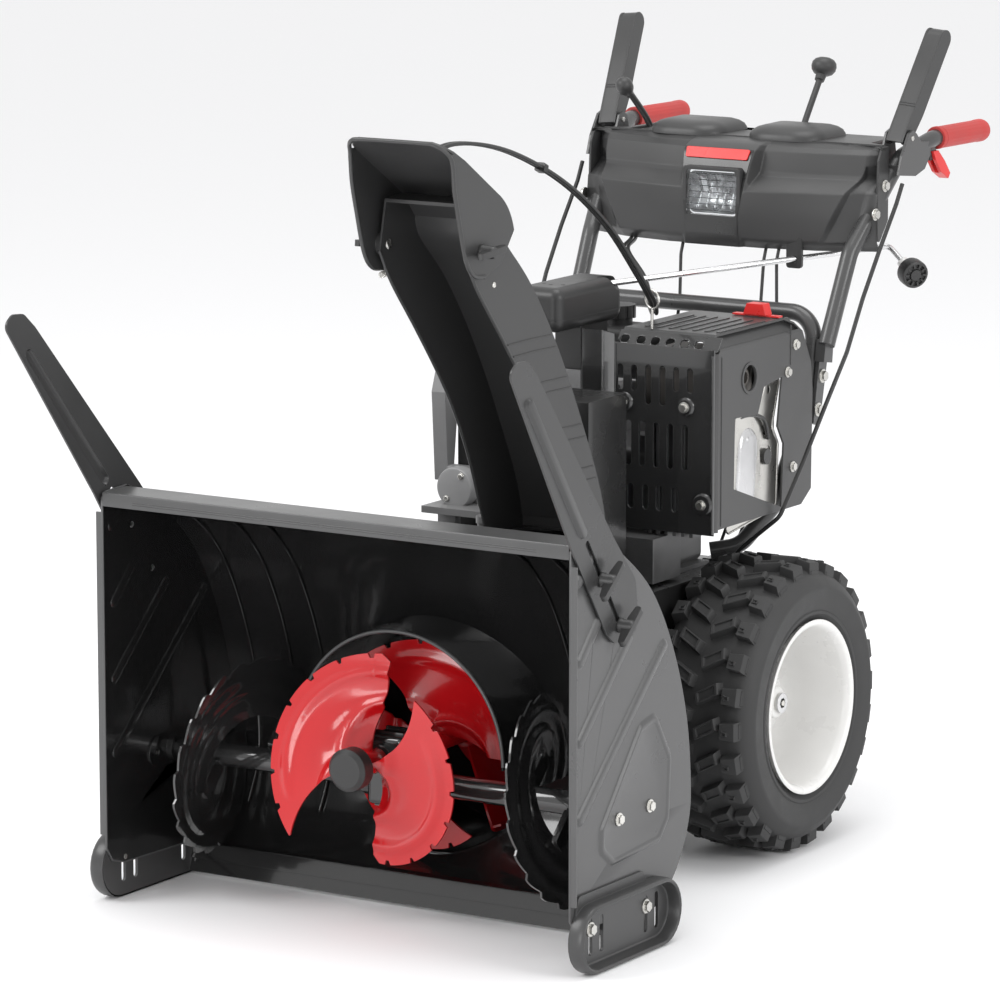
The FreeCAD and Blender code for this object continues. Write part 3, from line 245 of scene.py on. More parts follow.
class Piece:
    """One shown object, built in design millimetres from patches of mesh."""

    def __init__(self, name, body, slot_name, *looks):
        self.name, self.body, self.slot_name = name, body, slot_name
        self.looks = looks or (LOOKS[slot_name],)
        self.mesh = bmesh.new()

    def skin(self, points, faces, look=0, matrix=None):
        matrix = matrix or Matrix.Identity(4)
        corners = [self.mesh.verts.new(matrix @ Vector(p)) for p in points]
        for face in faces:
            self.mesh.faces.new([corners[i] for i in face]).material_index = look

    def grid(self, rows, ring=True, loop=False, caps=False, look=0, matrix=None):
        """Faces between rows of points: ring closes each row, loop joins the last row to the first."""
        wide, count = len(rows[0]), len(rows)
        faces = []
        for i in range(count if loop else count - 1):
            for j in range(wide if ring else wide - 1):
                a, b = i * wide + j, i * wide + (j + 1) % wide
                c, d = (i + 1) % count * wide + (j + 1) % wide, (i + 1) % count * wide + j
                faces.append((a, b, c, d))
        if caps:
            faces.append(tuple(reversed(range(wide))))
            faces.append(tuple((count - 1) * wide + j for j in range(wide)))
        self.skin([p for row in rows for p in row], faces, look, matrix)

    def turn(self, profile, matrix, steps=48):
        """Profile of (radius, height) points turned round the matrix's Z."""
        rows = []
        for radius, height in profile:
            row = []
            for i in range(steps):
                t = radians(360.0 * i / steps)
                row.append((radius * cos(t), radius * sin(t), height))
            rows.append(row)
        self.grid(rows, caps=profile[0][0] > 0.01, matrix=matrix)

    def slab(self, outline, axis, low, high, holes=(), look=0, matrix=None):
        """Flat plate between two heights along an axis, with holes through it."""
        loops = [list(outline)] + [list(h) for h in holes]
        flat = [[Vector((u, v, 0)) for u, v in loop] for loop in loops]
        triangles = geometry.tessellate_polygon(flat)
        every = [p for loop in loops for p in loop]
        count = len(every)
        points = [ALONG[axis](u, v, low) for u, v in every] + [ALONG[axis](u, v, high) for u, v in every]
        faces = [tuple(t) for t in triangles] + [tuple(i + count for i in reversed(t)) for t in triangles]
        start = 0
        for loop in loops:
            for i in range(len(loop)):
                a, b = start + i, start + (i + 1) % len(loop)
                faces.append((a, b, b + count, a + count))
            start += len(loop)
        self.skin(points, faces, look, matrix)

    def pipe(self, path, radius, steps=14):
        """Round bar along a list of points."""
        path = [Vector(p) for p in path]
        rows = []
        side = None
        for i, here in enumerate(path):
            ahead = (path[min(i + 1, len(path) - 1)] - path[max(i - 1, 0)]).normalized()
            side = (side - ahead * side.dot(ahead)) if side else ahead.orthogonal()
            side.normalize()
            up = ahead.cross(side)
            size = radius[i] if isinstance(radius, (list, tuple)) else radius
            rows.append([here + (side * cos(t) + up * sin(t)) * size
                         for t in (tau * k / steps for k in range(steps))])
        self.grid(rows, caps=True)

    def bolt(self, seat, direction, size):
        """Hex head with a chamfered top on its washer; size is the head across flats."""
        matrix = frame_of(direction, seat)
        r = size * 0.577
        self.turn([(r * 1.5, 0), (r * 1.5, 1.4), (r * 1.4, 1.7), (0.0, 1.7)], matrix, 24)
        self.turn([(r, 1.5), (r, 5.2), (r * 0.85, 6.0), (0.0, 6.0)], matrix, 6)
        self.turn([(r * 0.45, 5.9), (r * 0.45, 7.4), (0.0, 7.8)], matrix, 12)

    def dome(self, seat, direction, size):
        """Carriage bolt or rivet head."""
        profile = [(size * cos(t), size * 0.5 * sin(t)) for t in (0, 0.3, 0.6, 0.9, 1.2, 1.45)]
        self.turn(profile + [(0.0, size * 0.5)], frame_of(direction, seat), 20)

    def lidded(self, rows, look=0, matrix=None):
        """Grid whose last row is closed by one face."""
        self.grid(rows, look=look, matrix=matrix)
        self.skin(rows[-1], [tuple(range(len(rows[-1])))], look, matrix)

    def done(self, replaces=(), bevel=0.0, angle=32, segments=2):
        bmesh.ops.remove_doubles(self.mesh, verts=self.mesh.verts, dist=0.001)
        degenerate = [f for f in self.mesh.faces if f.calc_area() < 1e-7]
        bmesh.ops.delete(self.mesh, geom=degenerate, context="FACES_ONLY")
        bmesh.ops.recalc_face_normals(self.mesh, faces=self.mesh.faces)
        for face in self.mesh.faces:
            face.smooth = True
        self.mesh.transform(Matrix.Translation((0, MOUTH, 0)) @ Matrix.Scale(MM, 4))
        data = bpy.data.meshes.new(self.name)
        self.mesh.to_mesh(data)
        self.mesh.free()
        for look in self.looks:
            data.materials.append(look)
        data.set_sharp_from_angle(angle=radians(angle))
        shown = bpy.data.objects.new(self.name, data)
        bpy.context.scene.collection.objects.link(shown)
        if bevel:
            edge = shown.modifiers.new("edge", "BEVEL")
            edge.width, edge.segments, edge.limit_method = bevel * MM, segments, "ANGLE"
            edge.angle_limit = radians(angle)
            edge.harden_normals = True
        if self.body:
            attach(shown, self.body)
        if replaces:
            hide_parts(*replaces)
        return shown


# ---------- wheels
AXLE_Y, AXLE_Z = 793, 217
TREAD_R, CARCASS_R, RIM_R = 216.6, 203, 125
WHEEL_MID, LUGS = 235, 26


def on_wheel(x, angle, radius):
    t = radians(angle)
    return (x, AXLE_Y + radius * cos(t), AXLE_Z + radius * sin(t))


def lug(piece, side, corners, low, high, taper=0.16, sunk=None):
    """Tread block on (x, angle) corners; sunk is a share of the block pressed in a little on top."""
    mid_x = sum(c[0] for c in corners) / len(corners)
    mid_t = sum(c[1] for c in corners) / len(corners)

    def ring(share, radius):
        spots = [(mid_x + (x - mid_x) * share, mid_t + (t - mid_t) * share) for x, t in corners]
        return [on_wheel(side * x, t, radius - (4.0 if abs(x - WHEEL_MID) > 62 else 0)) for x, t in spots]

    rows = [ring(1 + taper, low), ring(1, high - 1.2), ring(0.93, high)]
    if sunk:
        rows += [ring(sunk, high), ring(sunk * 0.93, high - 2.6)]
    piece.lidded(rows)


def tyre(hand, side):
    """Snow tyre: carcass, shoulder and centre lugs with their sipes, and the lugs' skirts."""
    piece = Piece(f"tyre_{hand}_tread", f"wheel_{hand}", "tyre_rubber")
    wall = [(RIM_R + 1.5, 309), (RIM_R + 9, 312.5), (RIM_R + 12, 316), (RIM_R + 16, 316.5), (RIM_R + 18, 315),
            (155, 319), (172, 320), (176, 320.9), (179, 319.5), (190, 313), (198, 301), (202, 284),
            (CARCASS_R, 258), (CARCASS_R + 0.6, WHEEL_MID)]
    inner = [(r, max(161, 2 * WHEEL_MID - x + 9)) for r, x in reversed(wall[:-1])]
    profile = wall + inner + [(RIM_R + 1.5, 175)]
    rows = []
    for step in range(104):
        rows.append([on_wheel(side * x, 360 * step / 104, r) for r, x in profile])
    piece.grid(rows, loop=True)
    pitch = 360 / LUGS
    for i in range(LUGS):
        for half, phase in ((1, 0.0), (-1, 0.5)):
            t = pitch * (i + phase)

            def spot(x, turn):
                return (WHEEL_MID + half * x, t + turn * pitch)

            shoulder = [spot(47, -0.20), spot(70, -0.25), spot(70, 0.29), spot(47, 0.24)]
            lug(piece, side, shoulder, 190, TREAD_R - 1)
            sipe = [spot(50, -0.03), spot(54, 0.02), spot(59, 0.02), spot(59, 0.13), spot(50, 0.13)]
            lug(piece, side, sipe, TREAD_R - 4, TREAD_R - 0.4, 0.0, 0.72)
            skirt = [spot(62, -0.24), spot(72, -0.20), spot(72, 0.24), spot(62, 0.28)]
            lug(piece, side, skirt, 178, 204, 0.05)
            centre = [spot(3, 0.02), spot(38, -0.34), spot(42, -0.02), spot(7, 0.34)]
            lug(piece, side, centre, CARCASS_R - 3, TREAD_R, 0.14, 0.72)
    piece.done([f"tyre_{hand}"], bevel=0.9, angle=40)


def rim(hand, side):
    """Dished steel rim with its rolled lip, valve stem and hub bolt."""
    piece = Piece(f"rim_{hand}_dish", f"wheel_{hand}", "rim_white")
    lip = [(RIM_R - 1, 306), (RIM_R + 2, 313.5), (RIM_R + 4, 316.5), (RIM_R + 2, 317.9), (RIM_R - 2, 317),
           (RIM_R - 6, 314), (RIM_R - 8.5, 304)]
    barrel = [(115, 290), (114, 240), (112, 222), (105, 205), (97, 194), (88, 189.5), (80, 190), (72, 197),
              (64, 222), (58, 232), (52, 236), (27, 239), (25, 243), (24, 258), (21, 261), (11, 262)]
    back = [(11, 166), (20, 166), (20, 230), (50, 232), (56, 228), (64, 200), (78, 185), (98, 187),
            (106, 180), (RIM_R - 1, 176)]
    rows = [[on_wheel(side * x, 360 * k / 96, r) for k in range(96)] for r, x in lip + barrel]
    piece.grid(rows)
    rows = [[on_wheel(side * x, 360 * k / 64, r) for k in range(64)] for r, x in back]
    piece.grid(rows)
    piece.grid([[on_wheel(side * x, 360 * k / 64, RIM_R - 1) for k in range(64)] for x in (176, 306)])
    piece.done([f"rim_{hand}"], angle=50)
    stem = Piece(f"valve_{hand}", f"wheel_{hand}", "cap_black")
    foot = frame_of((side, -0.25, -0.35), on_wheel(side * 205, -112, 99))
    stem.turn([(7.5, -12), (7.5, 0), (5.6, 4), (5.0, 15), (4.2, 17)], foot, 20)
    stem.turn([(4.2, 17), (4.4, 18), (4.4, 27), (3.6, 28.5), (0, 28.5)], foot, 16)
    stem.done()
    hub = Piece(f"hub_bolts_{hand}", f"wheel_{hand}", "zinc")
    hub.bolt((side * 262, AXLE_Y, AXLE_Z), (side, 0, 0), 17)
    hub.turn([(14, 0), (14, 2.5), (0, 2.5)], frame_of((side, 0, 0), (side * 260.5, AXLE_Y, AXLE_Z)), 32)
    hub.done(bevel=0.3)


# ---------- shared shapes
def x_range(side, near, far):
    """Both x values of a slab that stands on one side of the machine, the lower one first."""
    return sorted((side * near, side * far))


def tilted(spot, angle, axis):
    """A frame at a spot, turned about one axis."""
    return Matrix.Translation(spot) @ Matrix.Rotation(radians(angle), 4, axis)


def smooth(points, steps=8, run_on=True):
    """A curve through the points, as many short lines; run_on keeps the slope of its two ends."""
    spots = [Vector(p) for p in points]
    if run_on:
        spots = [2 * spots[0] - spots[1]] + spots + [2 * spots[-1] - spots[-2]]
    else:
        spots = [spots[0]] + spots + [spots[-1]]
    result = []
    for i in range(1, len(spots) - 2):
        a, b, c, d = spots[i - 1:i + 3]
        for k in range(steps):
            t = k / steps
            result.append(0.5 * ((2 * b) + (c - a) * t + (2 * a - 5 * b + 4 * c - d) * t * t
                                 + (3 * b - a - 3 * c + d) * t ** 3))
    result.append(spots[-2])
    return [tuple(p) for p in result]


def obround(a, b, width, steps=10):
    """Outline of a slot from a to b."""
    along = Vector((b[0] - a[0], b[1] - a[1]))
    turn = degrees(atan2(along.y, along.x))
    return arc(b, width / 2, turn - 90, turn + 90, steps) + arc(a, width / 2, turn + 90, turn + 270, steps)


def inset(outline, gap):
    """A convex outline moved inwards."""
    middle = Vector((sum(p[0] for p in outline), sum(p[1] for p in outline))) / len(outline)
    result = []
    for p in outline:
        spoke = Vector(p) - middle
        result.append(tuple(middle + spoke * max(0.05, 1 - gap / max(spoke.length, 1))))
    return result


def mound(piece, outline, axis, levels, look=0, matrix=None):
    """Raised or sunk panel: levels are (inset, height) pairs from its edge to its flat top."""
    rows = [[ALONG[axis](u, v, height) for u, v in inset(outline, gap)] for gap, height in levels]
    piece.lidded(rows, look, matrix)


# ---------- bucket
BUCKET_BACK = [(58, 590), (116, 565), (206, 497), (267, 406), (306, 300), (318.5, 196),
               (309, 142.5), (282, 95.4), (252, 67.8), (215.5, 49)]
PLATE_IN, PLATE_OUT = 381, 384
WING_BOLTS = ((69, 534), (117, 464))


def outward(points, gap):
    """Points of an open curve moved to its left by gap."""
    result = []
    for i, p in enumerate(points):
        ahead = Vector(points[min(i + 1, len(points) - 1)]) - Vector(points[max(i - 1, 0)])
        ahead.normalize()
        result.append((p[0] - ahead.y * gap, p[1] + ahead.x * gap))
    return result


def side_plate(hand, side):
    """End plate of the bucket, with its pressed ribs, panel and folded front edge; its inner face is darkened
    as painted shade.
    """
    piece = Piece(f"side_plate_{hand}_pressed", "machine", "plate_grey", LOOKS["plate_grey"],
                  LOOKS["bucket_black"])
    curve = outward(smooth(BUCKET_BACK), 3.4)
    front = [(42, 50), (14, 58), (0, 78), (0, 582), (10, 591)]
    holes = [obround((162, 196), (162.1, 196), 30)]
    holes += [obround((y, z), (y + 0.1, z), 9, 6) for y, z in WING_BOLTS]
    piece.slab(curve + front, "X", *x_range(side, PLATE_IN, PLATE_OUT), holes)
    piece.slab(oblong(0, 3, 98, 562), "X", *x_range(side, PLATE_OUT, 392.6))
    # The inner face is a thin sheet in bucket_black, and the inner ribs take it too: the plate's own grey
    # darkened inside as painted shade.
    liner = x_range(side, PLATE_IN - 0.4, PLATE_IN + 0.2)
    piece.slab(curve[:-1] + [(40, 52), (14, 60), (1, 79), (1, 580)], "X", *liner, holes, 1)
    ribs = [((24, 430), (67, 475)), ((24, 321), (149, 439)), ((24, 214), (243, 413)), ((20, 540), (46, 562))]
    for a, b in ribs:
        mound_rib(piece, a, b, side)
        mound_rib(piece, a, b, side, 18, -2.4, PLATE_IN - 0.3, 1)
    panel = rounded([(182, 318), (222, 326), (266, 259), (261, 167), (236, 139), (103, 132), (72, 156),
                     (73, 188)], 16)
    levels = [(0, 383.9), (2.5, 385.0), (5, 387.0), (7, 387.6), (11, 387.6), (13, 386.6), (15, 386.2)]
    mound(piece, panel, "X", [(gap, side * x) for gap, x in levels])
    piece.done([f"side_plate_{hand}"], bevel=0.6, angle=50)


def mound_rib(piece, a, b, side, width=21, height=4.0, base=383.9, look=0):
    """Pressed rib from a to b, standing out from the side plate."""
    rows = []
    for share, rise in ((1.0, 0), (0.86, 0.25), (0.62, 0.8), (0.36, 1.0)):
        rows.append([(side * (base + height * rise), u, v) for u, v in obround(a, b, width * share)])
    piece.lidded(rows, look)


def bucket_lip():
    """Folded top edge of the bucket, with a plain pinstripe, and pressed lines on its back."""
    piece = Piece("bucket_lip", "machine", "plate_grey", LOOKS["plate_grey"], LOOKS["frame_black"])
    piece.slab([(-0.6, 571), (2.9, 571), (2.9, 588), (56, 588.2), (58, 590.8), (0.6, 590.8), (-0.6, 589)],
               "X", -380.8, 380.8)
    for z in (576.5, 579.5):
        piece.slab(oblong(-330, 330, -0.9, -0.4), "Z", z, z + 0.8, look=1)
    piece.done(bevel=0.8, angle=40)
    folds = Piece("bucket_folds", "machine", "bucket_black")
    inside = outward(smooth(BUCKET_BACK[1:8], 6), -3.6)
    for x in (-330, -262, -206, 206, 262, 330):
        path = [(x + (6 if x > 0 else -6) * sin(i / len(inside) * pi), y, z)
                for i, (y, z) in enumerate(inside)]
        folds.pipe(path, 3.2, 8)
    folds.done(angle=60)


def hoop_edge():
    """Bright rolled edge of the drum mouth guard."""
    piece = Piece("hoop_edge", "machine", "plate_grey")
    path = [(172.2 * cos(t), 169.5, 231 + 172.2 * sin(t))
            for t in (pi * k / 60 for k in range(61))]
    piece.pipe(path, 2.6, 10)
    piece.done(angle=60)


# ---------- blades and flights
IMPELLER_Z = 231


def lead_blades(piece, front, turn):
    """Two opposite stamped lead-in blades: horned tip, notched rim and pressed ridges."""
    for start in (turn, turn + 180):
        rows = []
        for step in range(177):
            t = step / 176
            angle = -radians(start + 142 * t)
            inner = 15 + 133 * (max(0, 0.2 - t) / 0.2) ** 0.8 + 60 * (max(0, t - 0.78) / 0.22) ** 1.3
            notch = t > 0.06 and (t * 7.5) % 1 > 0.84
            outer = (143.5 if notch else 149.8) - 10 * max(0, t - 0.965) / 0.035
            top, low = [], []
            for k in range(25):
                r = inner + (outer - inner) * k / 24
                press = 5.0 * exp(-((r - 124) / 7) ** 2) * min(1, max(0, (t - 0.12) / 0.15))
                press += 6.5 * exp(-((r - 34 - 84 * abs(t - 0.42)) / 9) ** 2)
                press += 3.0 * exp(-((r - 80) / 8) ** 2) * min(1, max(0, (t - 0.5) / 0.2))
                y = front + 77 * t
                spot = (r * cos(angle), IMPELLER_Z + r * sin(angle))
                top.append((spot[0], y + 0.2 - press, spot[1]))
                low.append((spot[0], y + 3.3 - press, spot[1]))
            rows.append(top + low[::-1])
        piece.grid(rows, caps=True)


def impeller():
    """Lead-in blades, and the four-bladed fan behind them."""
    piece = Piece("lead_blades", "impeller", "impeller_red")
    lead_blades(piece, 50, 134)
    hub = frame_of((0, 1, 0), (0, 60, IMPELLER_Z))
    piece.turn([(9.6, 0), (15, 0), (17, 2), (17, 56), (15, 58), (9.6, 58)], hub, 36)
    piece.done(["accelerator"], bevel=0.5, angle=45)
    fan = Piece("fan", "impeller", "impeller_red")
    lead_blades(fan, 214, 232)
    hub = frame_of((0, 1, 0), (0, 222, IMPELLER_Z))
    fan.turn([(9.6, 0), (15, 0), (17, 2), (17, 113), (24, 116), (24, 216), (88, 218), (90, 222), (9.6, 222)],
             hub, 48)
    for quarter in range(4):
        spin = tilted((0, 0, IMPELLER_Z), -(20 + 90 * quarter), "Y")
        fan.slab(oblong(20, 152, 337, 439, 8), "Z", -2, 2, matrix=spin)
        fan.slab(oblong(142.2, 145.8, 338, 438), "Z", 0, 15.5, matrix=spin)
    fan.done(["impeller"], bevel=0.5, angle=45)


AUGER_Y, AUGER_Z = 162, 196
FLIGHT_X, FLIGHT_LONG = 192, 160


def auger_flight(hand, side):
    """Stamped flight with a saw-toothed rim, its two arms and the sleeve."""
    piece = Piece(f"auger_flight_{hand}", "auger", "bucket_black", LOOKS["flight_black"])
    rows = []
    for step in range(181):
        t = step / 180
        angle = 2 * pi * t
        tooth = (t * 22) % 1
        outer = 145.8 - (7.5 * (tooth - 0.25) / 0.75 if tooth > 0.25 else 0)
        x = FLIGHT_X + 0.2 + FLIGHT_LONG * t
        top, low = [], []
        for k in range(17):
            r = 62.2 + (outer - 62.2) * k / 16
            press = 4.0 * exp(-((r - 92) / 8) ** 2) + 3.0 * exp(-((r - 122) / 6) ** 2)
            spot = (AUGER_Y + r * cos(angle), AUGER_Z + r * sin(angle))
            top.append((side * (x + press), spot[0], spot[1]))
            low.append((side * (x + 3.5 + press), spot[0], spot[1]))
        rows.append(top + low[::-1])
    piece.grid(rows, caps=True)
    for t in (0.125, 0.625):
        across = tilted((0, AUGER_Y, AUGER_Z), 360 * t, "X")
        low, high = x_range(side, FLIGHT_X + FLIGHT_LONG * t - 2.8, FLIGHT_X + FLIGHT_LONG * t + 6.8)
        piece.slab(oblong(16, 72, -13, 13, 5), "X", low, high, matrix=across)
    sleeve = frame_of((side, 0, 0), (side * 60.2, AUGER_Y, AUGER_Z))
    piece.turn([(12.8, 0), (16, 0), (17, 1), (17, 298), (16, 299.6), (12.8, 299.6)], sleeve, 36)
    piece.done([f"auger_spiral_{hand}"], bevel=0.4, angle=45)


# ---------- skid shoes and cutters
SHOE_ENDS = ((40, 48), (213, 48))       # centres of the shoe's two round ends


def skid_shoe(hand, side):
    """Reversible shoe: a thick rolled rim round a flat floor with four slots."""
    piece = Piece(f"skid_shoe_{hand}_cast", "machine", "shoe_black")
    profile = [(94, 384.4), (96, 388), (96, 398), (95, 403), (92, 406.6), (88, 407.9), (83, 406.5),
               (79.5, 402), (78, 395), (76, 390), (72, 388.8)]
    rows = [[(side * x, u, v) for u, v in obround(*SHOE_ENDS, width, 16)] for width, x in profile]
    piece.grid(rows)
    slots = [obround((y, 27), (y, 69), 10, 6) for y in (44, 73, 191, 220)]
    piece.slab(obround(*SHOE_ENDS, 90, 16), "X", *x_range(side, 384.4, 388.8), slots)
    piece.slab(rounded([(4, 60), (14, 110), (188, 110), (202, 60)], 9), "X", *x_range(side, 384.3, 388))
    piece.done([f"skid_shoe_{hand}"], angle=35)


GROOVE = ((-138, 800), (16, 606))
SLIDE_SPARE = 66                        # slot left beyond the upper wing bolt
FOLD_Z, FOLD_LEAN = 590, 17 / 280       # above this height the bar leans outwards


def drift_cutter(hand, side):
    """Leaning wing bar with its long pressed groove."""
    piece = Piece(f"drift_cutter_{hand}_pressed", f"drift_cutter_{hand}", "plate_grey", LOOKS["cutter_grey"])
    outline = rounded([(-190, 846), (-170, 860), (-145, 858), (-121, 837), (159, 520), (166, 470), (150, 441),
                       (104, 441), (84, 455)], [16, 14, 14, 16, 30, 20, 16, 14, 20])
    groove = obround(*GROOVE, 18)
    upper, lower = (Vector(bolt) for bolt in WING_BOLTS)
    along = Vector((48, -70)).normalized()
    slot = obround(upper - along * SLIDE_SPARE, lower + along * 6, 9.4)
    piece.slab(outline, "X", *x_range(side, 387, 390), [slot, groove])
    for base in (387, 390):
        rows = [[(side * (base + height), u, v) for u, v in obround(*GROOVE, width)]
                for width, height in ((18, 0), (15.5, 1.5), (12, 4.5), (9, 5))]
        piece.lidded(rows)
    parts = piece.mesh.verts[:] + piece.mesh.edges[:] + piece.mesh.faces[:]
    bmesh.ops.bisect_plane(piece.mesh, geom=parts, plane_co=(0, 0, FOLD_Z), plane_no=(0, 0, 1))
    for corner in piece.mesh.verts:
        corner.co.x += side * max(0, corner.co.z - FOLD_Z) * FOLD_LEAN
    piece.done([f"drift_cutter_{hand}"], angle=40)


# ---------- chute, hood and crank
CHUTE_X = 100
HOOD_PIVOT = (100, 957)                 # y and z
CHUTE_STEPS = (((185, 818), (300, 818)), ((200, 800), (312, 800)), ((236, 754), (341, 754)),
               ((247, 738), (352, 738)), ((283, 682), (381, 682)), ((293, 663), (392, 663)),
               ((315, 618), (412, 618)), ((322, 600), (420, 600)))


def chute_lines():
    """Moulded step lines round the chute walls, and the bolts that hold its liner."""
    piece = Piece("chute_lines", "chute", "chute_grey")
    for low, high in CHUTE_STEPS:
        for x in (29.6, 170.4):
            middle = (x, (low[0] + high[0]) / 2, (low[1] + high[1]) / 2 + 1)
            piece.pipe([(x, *low), middle, (x, *high)], 1.0, 8)
    for x in (30.0, 170.0):
        rim = smooth([(78, 950), (108, 903), (167, 834), (224, 764), (267, 703), (304, 634), (334, 558)], 6)
        piece.pipe([(x + (1.2 if x < CHUTE_X else -1.2), y + 0.5, z + 0.5) for y, z in rim], 2.3, 10)
    piece.done(angle=60)
    heads = Piece("chute_rivets", "chute", "zinc")
    for y, z in ((150, 905), (300, 690)):
        for side in (-1, 1):
            heads.dome((CHUTE_X + side * 70, y, z), (side, 0, 0), 4.5)
    heads.done()


def hood_trim():
    """Rolled lip round the hood mouth, its carriage bolts and the spring of the cable bracket."""
    lip = Piece("hood_lip", "hood", "chute_grey")
    half = [(-81.6, 108, 922), (-81.6, 80, 926.5), (-81.6, 60, 950), (-81.6, 42, 1008), (-81.6, 32, 1046),
            (-81.6, 28.5, 1076), (-80, 25, 1090), (-75, 16, 1100.5), (-67, 9, 1107), (-54, 7, 1109.6),
            (0, 7, 1110)]
    edge = smooth(half + [(-x, y, z) for x, y, z in reversed(half[:-1])], 6, False)
    lip.pipe([(CHUTE_X + x, y, z) for x, y, z in edge], 3.0, 12)
    lip.done(angle=60)
    bolts = Piece("hood_bolts", "hood", "zinc")
    for side in (-1, 1):
        bolts.dome((CHUTE_X + side * 68.4, *HOOD_PIVOT), (-side, 0, 0), 8)
    bolts.done()
    wire = Piece("hood_spring", "hood", "zinc")
    coil = []
    for k in range(97):
        t = k / 96
        a = tau * 8 * t
        coil.append((22 + 4 * cos(a), 96 + 26 * t, 914 + 4 * sin(a) + 3 * t))
    wire.pipe(coil, 0.9, 6)
    wire.done()


def wing(piece, seat, direction, spin):
    """Moulded T knob: tapered barrel, hub and two rounded wings."""
    here = frame_of(direction, seat, spin)
    piece.turn([(10.5, 0), (10.5, 3), (9, 5), (9, 17), (7, 21), (0, 21.5)], here, 24)
    outline = rounded([(-33.5, 12), (-31, 21), (-8, 21.4), (8, 21.4), (31, 21), (33.5, 12), (12, 8),
                       (-12, 8)], [4, 4, 6, 6, 4, 4, 5, 5])
    piece.slab(outline, "Y", -4.4, 4.4, matrix=here)


def knobs():
    """Wing knobs on the bucket's side plates, and the hood's pair."""
    bucket = Piece("wing_knob_set", "machine", "knob_plastic")
    studs = Piece("wing_knob_studs", "machine", "zinc")
    for side in (-1, 1):
        for y, z in WING_BOLTS:
            wing(bucket, (side * 390.5, y, z), (side, 0, 0), 40)
            studs.turn([(4, 0), (4, 1.5), (0, 1.8)], frame_of((side, 0, 0), (side * 410, y, z)), 16)
    bucket.done(["wing_knobs"], bevel=1.2, angle=40)
    studs.done()
    top = Piece("hood_knob_set", "hood", "knob_plastic")
    for side in (-1, 1):
        wing(top, (CHUTE_X + side * 82.4, *HOOD_PIVOT), (side, 0, 0), 5)
    top.done(["hood_knobs"], bevel=1.2, angle=40)


KNOB_SEAT = Vector((249, 1186, 826))
KNOB_AXIS = Vector((22.3, -1, -19.9)).normalized()


def crank_wheel():
    """Slotted crank knob on its pale collar."""
    piece = Piece("crank_wheel", "crank", "cap_black")
    tilt = (KNOB_AXIS * 0.5 + Vector((0.62, -0.66, 0.05))).normalized()
    here = frame_of(tilt, KNOB_SEAT + KNOB_AXIS * 26 - tilt * 12)
    piece.turn([(0, 0), (17, 0), (21, 2.5), (21.8, 6), (21.8, 19), (20.8, 22.5), (18.5, 23.8), (17, 23.8),
                (16.6, 20.5), (9.5, 20.5), (8.5, 24), (0, 24.4)], here, 40)
    for i in range(10):
        around = here @ Matrix.Rotation(tau * i / 10, 4, "Z")
        notch = rounded([(11, -1.2), (17.5, -1.6), (17.5, 1.6), (11, 1.2)], 0.5)
        piece.slab(notch, "Z", 21, 24.4, matrix=around)
    piece.done(["crank_knob"], bevel=0.5, angle=40)
    collar = Piece("crank_collar", "crank", "rim_white")
    collar.turn([(5, 0), (8.4, 0), (9, 1.5), (9, 12), (8.2, 14.2), (5, 14.2)],
                frame_of(KNOB_AXIS, KNOB_SEAT), 28)
    collar.done(bevel=0.3)


# ---------- hand controls
GRIP_X = 266


def grip(hand, side):
    """Soft grip with a flared end, rings at the thumb and fine ribs along the palm."""
    start, end = Vector((side * GRIP_X, 1259, 1005.9)), Vector((side * GRIP_X, 1412, 1004.05))
    here = frame_of(end - start, start)
    long = (end - start).length
    piece = Piece(f"grip_{hand}_rubber", "machine", "grip_red")
    rows = []
    stations = [(12.9, 0), (16.6, 0), (17.4, 1.5), (17.4, 7), (15.6, 8.2), (15.6, 10), (16.8, 11)]
    stations += [(16.8, 11 + (long - 35) * k / 12) for k in range(1, 13)]
    stations += [(17.4, long - 18), (17.4, long - 6), (16.5, long - 2), (14, long - 0.4), (12.9, long - 0.4)]
    for radius, height in stations:
        row = []
        for k in range(72):
            t = tau * k / 72
            rib = 0.55 * max(0, cos(18 * t)) if 12 < height < long - 20 else 0
            row.append(((radius - rib) * cos(t), (radius - rib) * sin(t), height))
        rows.append(row)
    piece.grid(rows, matrix=here)
    piece.done([f"grip_{hand}"], angle=50)
    plug = Piece(f"tube_plug_{hand}", "machine", "cap_black")
    plug.turn([(12.6, -1.5), (12.6, 2.2), (11, 3.4), (0, 3.6)],
              frame_of((0, 1, 0), (side * GRIP_X, 1412, 1004)), 28)
    plug.done()


PADDLE_X, PADDLE_Y, PADDLE_Z = 252, 1170, 1014
ALONG_ARM = (0.511, 0.86)            # y and z of the paddle's long axis


